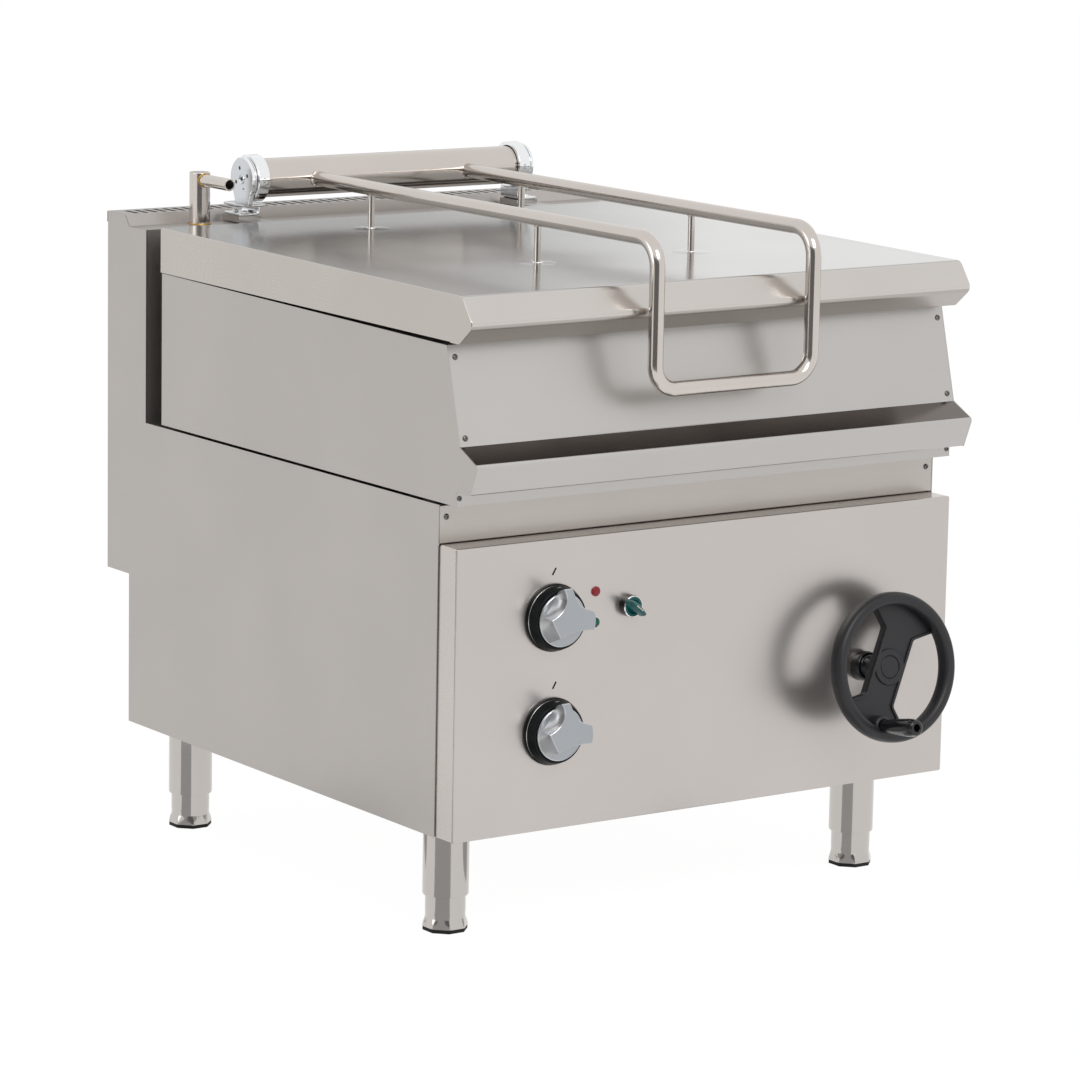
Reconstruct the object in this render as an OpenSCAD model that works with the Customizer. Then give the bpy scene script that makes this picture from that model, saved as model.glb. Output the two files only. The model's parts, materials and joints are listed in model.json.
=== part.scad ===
// Tilting bratt pan on an 800 mm wide cabinet: electric, hand tilted, with a spring hinged lid.
// X runs across the front, Y from the front to the back and Z up from the floor.
// Heights count from the floor and depths from the front edge of the cabinet's side panels.

/* [Cabinet] */
// Width over the side panels
body_w = 800; // [760:5:840]
// Thickness of all casing sheet
sheet_t = 1.5; // [1:0.1:2]
// Height of the cabinet's underside above the floor
leg_space = 145; // [120:5:170]
// Height of the cabinet's side panels
cab_h = 429; // [410:5:450]
// Step back of the lower cabinet's rear from the upper rear
step_d = 60; // [45:5:80]
// Depth of the upper cabinet
upper_d = 835; // [825:5:850]
// Height of the shallower lower part
step_h = 210; // [150:10:240]
// Gap between a side panel's outer face and the front parts' ends
side_gap = 2; // [1.8:0.1:4]
// Width of folded return flanges
flange_w = 18; // [12:1:25]

/* [Front] */
// Depth of the control panel tray
fascia_d = 40; // [34:1:46]
// Height of the rail above the control panel
rail_h = 51; // [45:1:58]
// Depth of the rail's folded flanges
rail_flange = 24; // [18:1:26]
// Height of the rail's screws below the cabinet top
rail_screw_drop = 16; // [12:1:24]
// Distance of the front screws from the casing's ends
screw_inset = 10; // [7:1:14]
// Radius of a panel screw's head
screw_r = 3.5; // [2.5:0.5:5]
// Height of a panel screw's head
screw_h = 1.8; // [1:0.2:3]

/* [Frame] */
// Width of the square frame tube
tube_w = 30; // [25:1:32]
// Wall of the square frame tube
tube_wall = 2; // [1.5:0.5:3]
// Gap between the side panel and the frame
frame_gap = 2.5; // [1:0.5:4]
// Drop of the deck plate below the cabinet top
deck_drop = 4.5; // [3.5:0.5:6]
// Thickness of the plates that carry the gearboxes and the pivots
plate_t = 6; // [5:0.5:8]

/* [Flue] */
// Gap between the pan's back and the flue
flue_gap = 40; // [34:1:44]
// Height of the flue's ledge above the pan's rim
ledge_rise = 64; // [58:1:72]
// Depth of the ledge
ledge_d = 49; // [44:1:52]
// Depth of the slope between ledge and cap
slope_d = 11; // [8:1:14]
// Rise of the cap above the ledge
cap_rise = 15; // [10:1:20]
// Overhang of the cap at the back
cap_overhang = 6; // [4:1:10]
// Pitch of the flue slots
slot_pitch = 15; // [12:0.5:20]
// Width of a flue slot
slot_w = 7; // [5:0.5:9]
// Length of a flue slot
slot_l = 34; // [24:1:38]
// Plain margin at each end of the row of slots
slot_margin = 24; // [16:1:40]

/* [Pan casing] */
// Gap between the cabinet top and the pan
pan_gap = 3; // [2:0.5:4]
// Height of the pan casing
pan_h = 200; // [190:2:215]
// Room behind the pan, up to the cabinet's upper rear
flue_room = 145; // [135:2:155]
// How far the front's top edge stands forward
front_top = 10; // [6:1:14]
// How far the foot of the sloping front stands forward
front_low = 42; // [36:1:46]
// Height of the foot of the sloping front above the pan's underside
front_low_h = 76; // [70:1:84]
// How far the rounded lip stands forward
lip_out = 80; // [74:1:86]
// Height of the lip's nose above the pan's underside
lip_h = 54; // [50:1:58]
// Radius of the lip's nose
lip_r = 6; // [4:0.5:8]
// How far the lip's lower edge stands forward
lip_low_out = 66; // [60:1:70]
// Height of the lip's lower edge above the pan's underside
lip_low_h = 18; // [14:1:22]
// How far the strip below the lip stands forward
strip_out = 36; // [34:1:38]

/* [Tank] */
// Thickness of the tank's walls
tank_wall = 3; // [2:0.5:4]
// Thickness of the tank's floor
tank_floor_t = 10; // [8:1:15]
// Height of the tank floor's underside above the pan's underside
tank_lift = 25; // [22:1:32]
// Distance of the tank's side walls from the casing's sides
tank_side = 48; // [42:1:60]
// Distance of the tank's back wall from the casing's back
tank_back = 47; // [36:1:60]
// Depth at which the tank's floor starts
tank_front = 60; // [58:1:70]
// Depth at which the tank's front wall meets the rim
tank_lip = 10; // [4:1:16]
// Half width of the pouring lip
pour_half_w = 75; // [60:5:100]
// Radius of a heating element's rod
rod_r = 4.25; // [3.5:0.25:5]
// Pitch of the heating rods
rod_pitch = 45; // [40:1:60]

/* [Tilting] */
// Distance of the pivot behind the side panels' front edge, negative in front of it
pivot_y = -18; // [-20:0.5:-17]
// Height of the pivot above the pan's underside
pivot_h = 29; // [28:0.5:32]
// Radius of the pivot pins
pivot_r = 10; // [8:0.5:10.5]
// Running clearance of all pins and shafts
run_gap = 0.05; // [0.03:0.01:0.08]
// Distance of the pivot bearings' middle from the casing's ends
pivot_inset = 31; // [28:1:60]
// Tooth module of the quadrant and the pinion
gear_module = 4; // [3.8:0.1:4.2]
// Teeth that a full circle of the quadrant would have
quadrant_teeth = 135; // [132:1:137]
// Teeth of the pinion
pinion_teeth = 10; // [10:1:11]
// Travel of the pan
tilt_travel = 70; // [50:5:70]
// Slope of the line from the pivot to the pinion
mesh_angle = 14; // [13:0.5:16]
// Thickness of the quadrant
quadrant_t = 10; // [8:1:12]
// Distance between the handwheel's plane of shafts and the quadrant
quadrant_side = 50; // [46:1:56]
// Radius of the drive shafts
shaft_r = 9; // [7:0.5:10]

/* [Handwheel] */
// Distance of the handwheel's shaft from the cabinet's side
wheel_side = 144; // [130:1:160]
// Height of the shaft above the cabinet's underside, at the control panel
wheel_h = 160; // [140:2:180]
// Upward slope of the shaft
wheel_slope = 9; // [6:0.5:11]
// Outer radius of the handwheel
wheel_r = 100; // [90:1:110]
// Radial width of the rim
rim_w = 15; // [12:1:20]
// Depth of the rim
rim_d = 24; // [18:1:28]
// Distance of the rim's middle from the control panel
wheel_out = 66; // [60:1:75]
// Radius of the hub
hub_r = 24; // [20:1:28]
// Radius of the cap in the hub
hub_cap_r = 15; // [12:1:17]
// Radius of the sleeve behind the wheel
sleeve_r = 20; // [17:1:22]
// Distance of the crank's pin from the shaft
crank_r = 80.5; // [76:0.5:84]
// Clock angle of the crank, from +X towards +Z
crank_angle = 248; // [240:2:256]
// Clock angle of the handwheel's fan-shaped webs, from +X towards +Z
fan_angle = 63.5; // [60:0.5:66]
// Length of the crank's grip
grip_l = 78; // [60:1:85]
// Largest radius of the crank's grip
grip_r = 12; // [10:0.5:14]

/* [Controls] */
// Distance of the knobs from the cabinet's side
knob_side = 151; // [140:1:170]
// Height of the lower knob above the cabinet's underside
knob_h = 129; // [110:1:140]
// Pitch of the two knobs
knob_pitch = 148; // [130:2:160]
// Radius of a knob's black skirt
skirt_r = 43.5; // [38:0.5:46]
// Depth of a knob's black skirt
skirt_d = 16; // [12:1:20]
// Radius of a knob's cap
cap_r = 37.5; // [32:0.5:40]
// Depth of a knob's cap, with its grip
cap_d = 22; // [18:1:26]
// Width of the grip on a knob's cap
knob_grip_w = 22; // [18:1:26]
// Distance of the lamps from the knobs' centres
lamp_side = 65; // [58:1:70]
// Radius of the lamps
lamp_r = 6.5; // [5:0.5:8]
// Height of the lamps' middle above the cabinet's underside
lamp_h = 284; // [270:2:296]
// Pitch of the two lamps
lamp_pitch = 40; // [30:2:48]
// Distance of the selector switch from the knobs' centres
selector_side = 117; // [105:1:126]
// How far the selector switch's middle lies below the lamps' middle
selector_drop = 2.5; // [0:0.5:6]
// Radius of the selector switch's bezel
selector_r = 14.5; // [12:0.5:16]
// Depth of the selector switch's bezel
selector_d = 13; // [9:1:16]

/* [Legs] */
// Distance of the legs' centres from the cabinet's sides
leg_side = 66; // [50:2:80]
// Depth of the front legs
leg_front = 70; // [60:2:90]
// Distance of the rear legs' centres from the lower rear
leg_back = 59; // [40:1:85]
// Outer radius of a leg's sleeve
sleeve_leg_r = 30.25; // [28:0.25:33]
// Outer radius of a foot
foot_r = 26.5; // [24:0.5:27]
// Height of the sleeves' lower edge above the floor
foot_show = 47; // [40:1:60]
// Length of the foot hidden in its sleeve
foot_hidden = 58; // [50:1:62]
// Thickness of the rubber pad under a foot
pad_t = 5; // [3:0.5:8]

/* [Lid] */
// Gap between the pan's rim and the lid's front edge
lid_gap = 4; // [3:0.5:6]
// Gap between the lid's lower edge and the casing's sides at the back
lid_back_gap = 1; // [0.5:0.5:3]
// Height of the lid's front
lid_h = 61; // [56:1:66]
// Rise of the lid from its front to its back
lid_rise = 6; // [4:1:8]
// How far the lid's nose stands forward
nose_out = 66; // [60:1:68]
// Height of the nose above the lid's lower edge
nose_h = 28; // [22:1:32]
// Radius of the lid's nose
nose_r = 11; // [8:0.5:12]
// How far the lower fold below the nose stands forward
under_out = 38; // [34:1:42]
// How far the lid's front top edge stands forward
top_out = 33; // [28:1:40]
// Depth of the lid's back wall behind the pan's back
lid_back = 3; // [2:0.5:4]
// Depth of the hinge line behind the pan's back
hinge_back = 40; // [36:1:44]
// Height of the hinge line above the pan's rim
hinge_h = 127; // [118:1:130]
// Radius of the hinge tube
tube_r = 27; // [24:0.5:29]
// Radius of the lid's arms and handle
arm_r = 10; // [9:0.5:12]
// Distance of the arms from the middle
arm_x = 126; // [110:2:140]
// How far the handle stands forward
handle_out = 81; // [80:1:90]
// Drop of the arms below the hinge line
arm_low = 2; // [0:0.5:3]
// How far the handle stands to the left of the middle at its front
handle_shift = 3; // [0:0.5:6]
// Turn of the handle to the left, seen from above
handle_skew = 0.8; // [0:0.1:1]
// Drop of the handle's grip bar below the arms
handle_drop = 192; // [170:2:210]
// Bend radius of the handle
bend_r = 36; // [30:1:42]
// Radius of the posts between arms and lid
post_r = 4.5; // [3.5:0.5:6]
// Depth of the front posts
post_front = 179; // [160:1:220]
// Distance of the rear posts from the pan's back
post_back = 119; // [70:1:150]
// Travel of the lid
lid_travel = 85; // [60:5:90]

/* [Hinge] */
// Distance of the bracket's web from the cabinet's side
web_side = 177; // [174:0.5:177]
// How much nearer to the middle the left bracket stands
web_shift = 6; // [0:0.5:8]
// Distance of the hinge tube's left end from the cabinet's side
tube_side_left = 160; // [158:0.5:164]
// Distance of the hinge tube's right end from the cabinet's side
tube_side_right = 185.5; // [184:0.5:189]
// Width of a hinge bracket's foot
bracket_w = 34; // [28:1:38]
// Depth of a hinge bracket
bracket_d = 43; // [38:1:46]
// Thickness of a hinge bracket
bracket_t = 4; // [3:0.5:5]
// Height of a hinge bracket
bracket_h = 17.5; // [15:0.5:17.5]
// Radius of the spring hub
spring_hub_r = 30; // [27:0.5:31]
// Width of the spring hub
spring_hub_w = 8; // [6:0.5:9]
// Turn of the spring hub's first hole from the horizontal
hub_hole_turn = 70; // [0:5:90]
// Outer radius of the clamp collar
collar_r = 33; // [30.5:0.5:34]
// Width of the clamp collar
collar_w = 18.5; // [16:0.5:20]
// Thickness of the arms that carry the hinge brackets
support_t = 5.5; // [4.5:0.5:6]
// Height of the block under a hinge bracket's foot
block_h = 3; // [2:0.5:4]

/* [Water] */
// Distance of the filling spout from the cabinet's side
spout_side = 104; // [90:1:110]
// Radius of the spout's standpipe
spout_r = 14.5; // [12:0.5:15.5]
// Height of the spout's standpipe
spout_h = 72; // [66:1:80]
// Radius of the spout's nozzle
nozzle_r = 8.5; // [7:0.5:9]
// Wall of the spout's pipes
pipe_wall = 2; // [1.5:0.25:2.5]
// Length of the nozzle in front of the standpipe's axis
nozzle_l = 80; // [70:1:81]
// Radius of the water inlet's thread
inlet_r = 10.5; // [8:0.25:13]
// Length of the water inlet's thread
inlet_l = 18; // [14:1:24]
// Radius of the cable gland's bore
gland_r = 9; // [6:0.5:10]

/* [Hidden] */
$fn = 64;

// One overrun for all cuts, and the gap that seated pieces keep from moving ones
over = 1;
seat_gap = 0.2;

// Places worked out from the sizes above
half_w = body_w / 2;
lower_d = upper_d - step_d;
pan_back = upper_d - flue_room;
post_rear = pan_back - post_back;
leg_x = half_w - leg_side;
leg_rear = lower_d - leg_back;
wheel_x = half_w - wheel_side;
knob_x = half_w - knob_side;
lamp_x = knob_x - lamp_side;
selector_x = knob_x - selector_side;
selector_z = leg_space + lamp_h - selector_drop;
spout_x = half_w - spout_side;
web_x = half_w - web_side;
in_half = half_w - side_gap;
cab_top = leg_space + cab_h;
step_z = leg_space + step_h;
fascia_top = cab_top - rail_h;
deck_z = cab_top - deck_drop - sheet_t;
frame_half = half_w - sheet_t - frame_gap;
base_z = leg_space + sheet_t;
frame_front = rail_flange + seat_gap;
frame_rear = lower_d - sheet_t - flange_w / 2;
pan_z = cab_top + pan_gap;
rim_z = pan_z + pan_h;
flue_y = pan_back + flue_gap;
ledge_z = rim_z + ledge_rise;
cap_z = ledge_z + cap_rise;
cap_y = flue_y + ledge_d + slope_d;
tank_half = in_half - tank_side;
tank_z = pan_z + tank_lift;
tank_floor_z = tank_z + tank_floor_t;
tank_rear = pan_back - tank_back;
pivot_z = pan_z + pivot_h;
bearing_x = in_half - pivot_inset;
hinge_y = pan_back + hinge_back;
hinge_z = rim_z + hinge_h;
arm_z = hinge_z - arm_low;
lid_z = rim_z + lid_gap;
lid_rear = pan_back + lid_back;
fascia_y = -fascia_d;
wheel_z = leg_space + wheel_h;

// Gearing of the tilt: pitch radii, mesh place and the lower line of the drive
quadrant_pitch_r = gear_module * quadrant_teeth / 2;
pinion_pitch_r = gear_module * pinion_teeth / 2;
mesh_slack = gear_module * 0.06;
tooth_top = gear_module * 0.75;
tooth_root = gear_module * 1.05;
gear_reach = quadrant_pitch_r + pinion_pitch_r + mesh_slack;
pinion_y = pivot_y + gear_reach * cos(mesh_angle);
pinion_z = pivot_z - gear_reach * sin(mesh_angle);
worm_offset = shaft_r * 4.4;
quadrant_x = wheel_x + quadrant_side;

// The drive's slanted lines: along the wheel's shaft, and square to it up to the worm
function along(s) = [fascia_y + s * cos(wheel_slope), wheel_z - s * sin(wheel_slope)];
worm_at = [pinion_y - worm_offset * cos(wheel_slope), pinion_z + worm_offset * sin(wheel_slope)];
from_panel = worm_at - along(0);
wheel_reach = from_panel[0] * cos(wheel_slope) - from_panel[1] * sin(wheel_slope);
drive_rise = from_panel[0] * sin(wheel_slope) + from_panel[1] * cos(wheel_slope);
box_r = shaft_r * 3.4;
case_wall = plate_t * 0.75;

// Radii of the blanks that stand for the bevel and worm gears, inside their boxes
bevel_r = shaft_r * 2;
worm_r = shaft_r * 1.35;
worm_wheel_r = worm_offset - worm_r - seat_gap;
tube_left = half_w - tube_side_left;
tube_right = half_w - tube_side_right;

// A folded sheet: the path on one side and the same path moved over by the sheet's thickness
function unit(v) = v / norm(v);
function left(v) = [-v[1], v[0]];
function shifted(p, i, t) =
    i == 0 ? p[0] + t * left(unit(p[1] - p[0]))
    : i == len(p) - 1 ? p[i] + t * left(unit(p[i] - p[i - 1]))
    : let (a = left(unit(p[i] - p[i - 1])), b = left(unit(p[i + 1] - p[i])))
        p[i] + t * (a + b) / (1 + a * b);
function fold(p, t) = concat(p, [for (i = [len(p) - 1 : -1 : 0]) shifted(p, i, t)]);
function arc_pts(c, r, a0, a1, n) = [for (i = [0 : n]) let (a = a0 + (a1 - a0) * i / n) c + r * [cos(a), sin(a)]];

// Places a Y-Z outline in space and pulls it from x0 to x1
module across(x0, x1) {
    translate([x0, 0, 0])
        rotate([90, 0, 90])
            linear_extrude(x1 - x0)
                children();
}

// A block between two corners
module block(a, b) {
    translate(a)
        cube(b - a);
}

// A round bar from x0 to x1 along X at depth y and height z
module bar_x(r, x0, x1, y, z) {
    translate([x0, y, z])
        rotate([0, 90, 0])
            cylinder(r = r, h = x1 - x0);
}

// A round bar that stands forward from depth y by h
module bar_y(r, h, x, y, z, r2 = undef) {
    translate([x, y, z])
        rotate([90, 0, 0])
            cylinder(r1 = r, r2 = is_undef(r2) ? r : r2, h = h);
}

module both() {
    children();
    mirror([1, 0, 0])
        children();
}

// Both hinge ends: the right one as drawn, the left one mirrored and moved towards the middle
module hinge_ends() {
    children();
    translate([web_shift, 0, 0])
        mirror([1, 0, 0])
            children();
}

// Carries a shape drawn along +Z on the wheel's slanted axis, s behind the control panel
module on_wheel_axis(s) {
    translate([wheel_x, along(s)[0], along(s)[1]])
        rotate([90 - wheel_slope, 0, 0])
            children();
}

// Cabinet

module side_sheet() {
    across(half_w - sheet_t, half_w)
        polygon([[0, leg_space], [lower_d, leg_space], [lower_d, step_z], [upper_d, step_z],
            [upper_d, cab_top], [0, cab_top]]);
    block([half_w - sheet_t - flange_w, 0, leg_space], [half_w - sheet_t, lower_d - sheet_t, base_z]);
    block([half_w - sheet_t - flange_w, lower_d, step_z], [half_w - sheet_t, upper_d - sheet_t, step_z + sheet_t]);
}

module side_panel_right() {
    color("#b7b2ad")
        side_sheet();
}

module side_panel_left() {
    color("#b7b2ad")
        mirror([1, 0, 0])
            side_sheet();
}

module base_plate() {
    color("#a8a4a0")
        block([-in_half, sheet_t, base_z], [in_half, lower_d - sheet_t * 2, base_z + sheet_t]);
}

// A square tube between two corners, hollow along one axis given by its direction vector
module square_tube(a, b, along_axis) {
    w = [for (i = [0 : 2]) along_axis[i] == 1 ? -over : tube_wall];
    difference() {
        block(a, b);
        block(a + w, b - w);
    }
}

module cabinet_frame() {
    post_z = base_z + sheet_t;
    rail_z = deck_z - tube_w;
    color("#8f8f8f") {
        both() {
            for (y = [frame_front, frame_rear - tube_w])
                square_tube([frame_half - tube_w, y, post_z], [frame_half, y + tube_w, rail_z], [0, 0, 1]);
            square_tube([frame_half - tube_w, frame_front, rail_z], [frame_half, frame_rear, deck_z], [0, 1, 0]);
        }
        for (y = [frame_front, frame_rear - tube_w])
            square_tube([tube_w - frame_half, y, rail_z], [frame_half - tube_w, y + tube_w, deck_z], [1, 0, 0]);
        gearbox_plate();
    }
}

// The plate that hangs from the deck and carries both gearboxes, with its top flange
module gearbox_plate() {
    x1 = wheel_x - box_r;
    x0 = x1 - plate_t;
    low = along(wheel_reach);
    across(x0, x1)
        polygon([[low[0] - box_r, low[1] - box_r], [low[0] + box_r, low[1] - box_r],
            [pinion_y + box_r, pinion_z - box_r], [pinion_y + box_r, deck_z],
            [worm_at[0] - box_r, deck_z], [worm_at[0] - box_r, worm_at[1] - box_r]]);
    block([x0 - tube_w, worm_at[0] - box_r, deck_z - plate_t], [x0, pinion_y + box_r, deck_z]);
}

module deck_plate() {
    slot = quadrant_t / 2 + plate_t / 2;
    color("#a8a4a0")
        difference() {
            block([-in_half, frame_front, deck_z], [in_half, frame_rear, deck_z + sheet_t]);
            block([quadrant_x - slot, tank_front, deck_z - over],
                [quadrant_x + slot, pivot_y + quadrant_pitch_r + tooth_top + plate_t, deck_z + sheet_t + over]);
        }
}

module front_rail() {
    color("#c5c0ba")
        difference() {
            across(-in_half, in_half)
                polygon(fold([[rail_flange, fascia_top], [0, fascia_top], [0, cab_top], [rail_flange, cab_top]],
                    -sheet_t));
            both()
                bar_y(screw_r / 2, sheet_t + 2 * over, in_half - screw_inset, sheet_t + over, cab_top - rail_screw_drop);
        }
}

module front_panel() {
    color("#c5c0ba")
        difference() {
            union() {
                across(-in_half, in_half)
                    polygon(fold([[0, leg_space], [fascia_y, leg_space], [fascia_y, fascia_top], [0, fascia_top]],
                        -sheet_t));
                both()
                    block([in_half - sheet_t, fascia_y, leg_space], [in_half, 0, fascia_top]);
            }
            for (z = [knob_z(0), knob_z(1)])
                bar_y(shaft_r, sheet_t + 2 * over, -knob_x, fascia_y + sheet_t + over, z);
            for (i = [-1, 1])
                bar_y(lamp_r - sheet_t, sheet_t + 2 * over, -lamp_x, fascia_y + sheet_t + over, lamp_z(i));
            bar_y(selector_r - sheet_t * 2, sheet_t + 2 * over, -selector_x, fascia_y + sheet_t + over, selector_z);
            bar_y(shaft_r * 1.5, sheet_t + 2 * over, wheel_x, fascia_y + sheet_t + over, wheel_z);
        }
}

module rear_panel() {
    color("#a8a4a0")
        difference() {
            across(-in_half, in_half)
                polygon(fold([[lower_d, base_z], [lower_d, step_z + sheet_t], [upper_d, step_z + sheet_t],
                    [upper_d, cap_z - sheet_t - seat_gap]], sheet_t));
            bar_y(inlet_neck() + run_gap, sheet_t + 2 * over, -spout_x, upper_d + over, inlet_z());
            bar_y(gland_r + sheet_t + run_gap, sheet_t + 2 * over, gland_x(), upper_d + over, inlet_z());
        }
}

module flue_housing() {
    color("#b7b2ad")
        difference() {
            union() {
                across(-in_half, in_half)
                    polygon(fold([[flue_y, deck_z + sheet_t], [flue_y, ledge_z], [flue_y + ledge_d, ledge_z]], -sheet_t));
                both()
                    across(half_w - sheet_t, half_w)
                        polygon([[flue_y, cab_top], [upper_d, cab_top], [upper_d, cap_z], [cap_y, cap_z],
                            [flue_y + ledge_d, ledge_z], [flue_y, ledge_z]]);
            }
            translate([-spout_x, spout_y(), ledge_z - sheet_t - over])
                cylinder(r = spout_r - pipe_wall, h = sheet_t + 2 * over);
        }
}

module flue_cap() {
    back = upper_d + cap_overhang;
    row = body_w - 2 * slot_margin;
    slots = floor(row / slot_pitch);
    middle = (cap_y + upper_d) / 2;
    color("#b7b2ad")
        difference() {
            across(-in_half, in_half)
                polygon(fold([[flue_y + ledge_d, ledge_z], [cap_y, cap_z], [back, cap_z], [back, ledge_z]], -sheet_t));
            for (i = [0 : slots])
                translate([(i - slots / 2) * slot_pitch, middle, cap_z - sheet_t - over])
                    block([-slot_w / 2, -slot_l / 2, 0], [slot_w / 2, slot_l / 2, sheet_t + 2 * over]);
        }
}

// Water and power

function spout_y() = flue_y + ledge_d - spout_r - sheet_t * 1.5;
function nozzle_z() = ledge_z + spout_h - nozzle_r - pipe_wall;
function inlet_z() = step_z + tube_w + inlet_r;
function inlet_neck() = inlet_r - pipe_wall / 2;
function gland_x() = -spout_x + tube_w * 3;

module water_spout() {
    y = spout_y();
    color("#b9b4ae")
        difference() {
            union() {
                translate([-spout_x, y, ledge_z])
                    cylinder(r = spout_r, h = spout_h);
                bar_y(nozzle_r, nozzle_l, -spout_x, y, nozzle_z());
            }
            translate([-spout_x, y, ledge_z - over])
                cylinder(r = spout_r - pipe_wall, h = spout_h - pipe_wall + over);
            bar_y(nozzle_r - pipe_wall, nozzle_l + over, -spout_x, y, nozzle_z());
        }
}

module solenoid_valve() {
    z = inlet_z();
    y0 = upper_d - sheet_t;
    valve_d = tube_w;
    color("#d8d4c8") {
        block([-spout_x - valve_d / 2, y0 - valve_d, z - inlet_r - pipe_wall],
            [-spout_x + valve_d / 2, y0, z + inlet_r + pipe_wall]);
        translate([-spout_x, y0 - valve_d / 2, z + inlet_r + pipe_wall])
            cylinder(r = inlet_r + pipe_wall, h = valve_d);
        difference() {
            union() {
                bar_y(inlet_r, inlet_l - sheet_t, -spout_x, upper_d + inlet_l, z);
                bar_y(inlet_neck(), inlet_l, -spout_x, upper_d + inlet_l - sheet_t, z);
            }
            bar_y(inlet_r - pipe_wall, inlet_l, -spout_x, upper_d + inlet_l + over, z);
        }
    }
}

// A quarter bend of round bar in the plane of Y and Z, starting at angle a0 from +Y towards +Z
module bend_yz(x, y, z, r, bar, a0) {
    translate([x, y, z])
        rotate([90, 0, 90])
            rotate([0, 0, a0])
                bend(r, bar);
}

// The copper pipe from the valve's coil to the foot of the spout
module fill_pipe() {
    y0 = upper_d - sheet_t - tube_w / 2;
    z0 = inlet_z() + inlet_r + pipe_wall + tube_w;
    y1 = spout_y();
    turn_z = deck_z + sheet_t + tube_w;
    r = nozzle_r;
    turn_r = r * 1.6;
    color("#c07b4a") {
        translate([-spout_x, y0, z0])
            cylinder(r = r, h = turn_z - turn_r - z0);
        bend_yz(-spout_x, y0 - turn_r, turn_z - turn_r, turn_r, r, 0);
        bar_y(r, y0 - y1 - 2 * turn_r, -spout_x, y0 - turn_r, turn_z);
        bend_yz(-spout_x, y1 + turn_r, turn_z + turn_r, turn_r, r, 180);
        translate([-spout_x, y1, turn_z + turn_r])
            cylinder(r = r, h = ledge_z - turn_z - turn_r);
    }
}

module cable_gland() {
    r = gland_r + sheet_t;
    z = inlet_z();
    color("#2b2b2d")
        difference() {
            union() {
                bar_y(r, sheet_t * 3, gland_x(), upper_d + sheet_t, z);
                bar_y(r + pipe_wall, inlet_l, gland_x(), upper_d + inlet_l, z);
            }
            bar_y(gland_r, inlet_l * 3, gland_x(), upper_d + inlet_l + over, z);
        }
}

module terminal_box() {
    x = gland_x();
    y1 = lower_d - sheet_t;
    color("#d5d5d2") {
        block([x - tube_w * 2, y1 - tube_w * 2, base_z + sheet_t + step_h / 4],
            [x + tube_w * 3, y1, base_z + sheet_t + step_h * 3 / 4]);
    }
}

// Tilting drive

// Carries a shape drawn along +Z on the drive shaft's line, from where it meets the wheel's shaft
module on_drive_axis(s) {
    translate([wheel_x, along(wheel_reach)[0], along(wheel_reach)[1]])
        rotate([-wheel_slope, 0, 0])
            translate([0, 0, s])
                children();
}

// A blank for a bevel gear whose pitch cone has its tip at zero, on its shaft
module bevel_blank(length) {
    tip = bevel_r * 0.55;
    rotate_extrude()
        polygon([[0, tip], [tip - seat_gap, tip], [bevel_r - seat_gap, bevel_r],
            [bevel_r - seat_gap, bevel_r + seat_gap * 5], [shaft_r, bevel_r + seat_gap * 5],
            [shaft_r, length], [0, length]]);
}

module bevel_box() {
    inner = box_r - case_wall;
    color("#6d7378")
        difference() {
            on_wheel_axis(wheel_reach) {
                block([-box_r, -box_r, -box_r], [box_r, box_r, box_r]);
                translate([0, 0, box_r])
                    cylinder(r = bevel_r, h = plate_t);
                rotate([-90, 0, 0])
                    translate([0, 0, box_r])
                        cylinder(r = bevel_r, h = plate_t);
            }
            on_wheel_axis(wheel_reach) {
                block([-inner, -inner, -inner], [inner, inner, inner]);
                cylinder(r = shaft_r + run_gap, h = box_r * 2);
            }
            on_drive_axis(0)
                cylinder(r = shaft_r + run_gap, h = box_r * 2);
        }
}

// The worm's box, square to the floor, from in front of the worm to behind the worm wheel
module worm_box() {
    inner = worm_wheel_r + seat_gap * 5;
    outer = inner + case_wall;
    front = worm_at[0] - worm_r * 1.7;
    rear = pinion_y + inner;
    top = deck_z - seat_gap * 4;
    color("#6d7378")
        difference() {
            block([wheel_x - box_r, front - case_wall, pinion_z - outer], [wheel_x + box_r, rear + case_wall, top]);
            block([wheel_x - box_r + case_wall, front, pinion_z - inner],
                [wheel_x + box_r - case_wall, rear, pinion_z + inner]);
            on_drive_axis(drive_rise - box_r * 3)
                cylinder(r = shaft_r + run_gap, h = box_r * 3);
            bar_x(shaft_r + run_gap, wheel_x, wheel_x + box_r * 2, pinion_y, pinion_z);
        }
}

module drive_shaft() {
    color("#9a9da0") {
        on_drive_axis(0)
            bevel_blank(drive_rise + worm_r * 1.5);
        on_drive_axis(drive_rise - worm_r * 1.5)
            cylinder(r = worm_r, h = worm_r * 3);
    }
}

// Straight-sided teeth round a pitch circle: one tooth as four points, at its centre angle
tooth_half_share = 0.205;
flank_tan = tan(20);
function tooth_pts(r, a, out, root) =
    let (t = tooth_half_share * PI * gear_module,
        w_root = t + root * flank_tan, w_top = t - out * flank_tan)
    [for (s = [[-1, w_root, r - root], [-1, w_top, r + out], [1, w_top, r + out], [1, w_root, r - root]])
        let (b = a + s[0] * asin(s[1] / s[2])) s[2] * [cos(b), sin(b)]];

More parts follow.
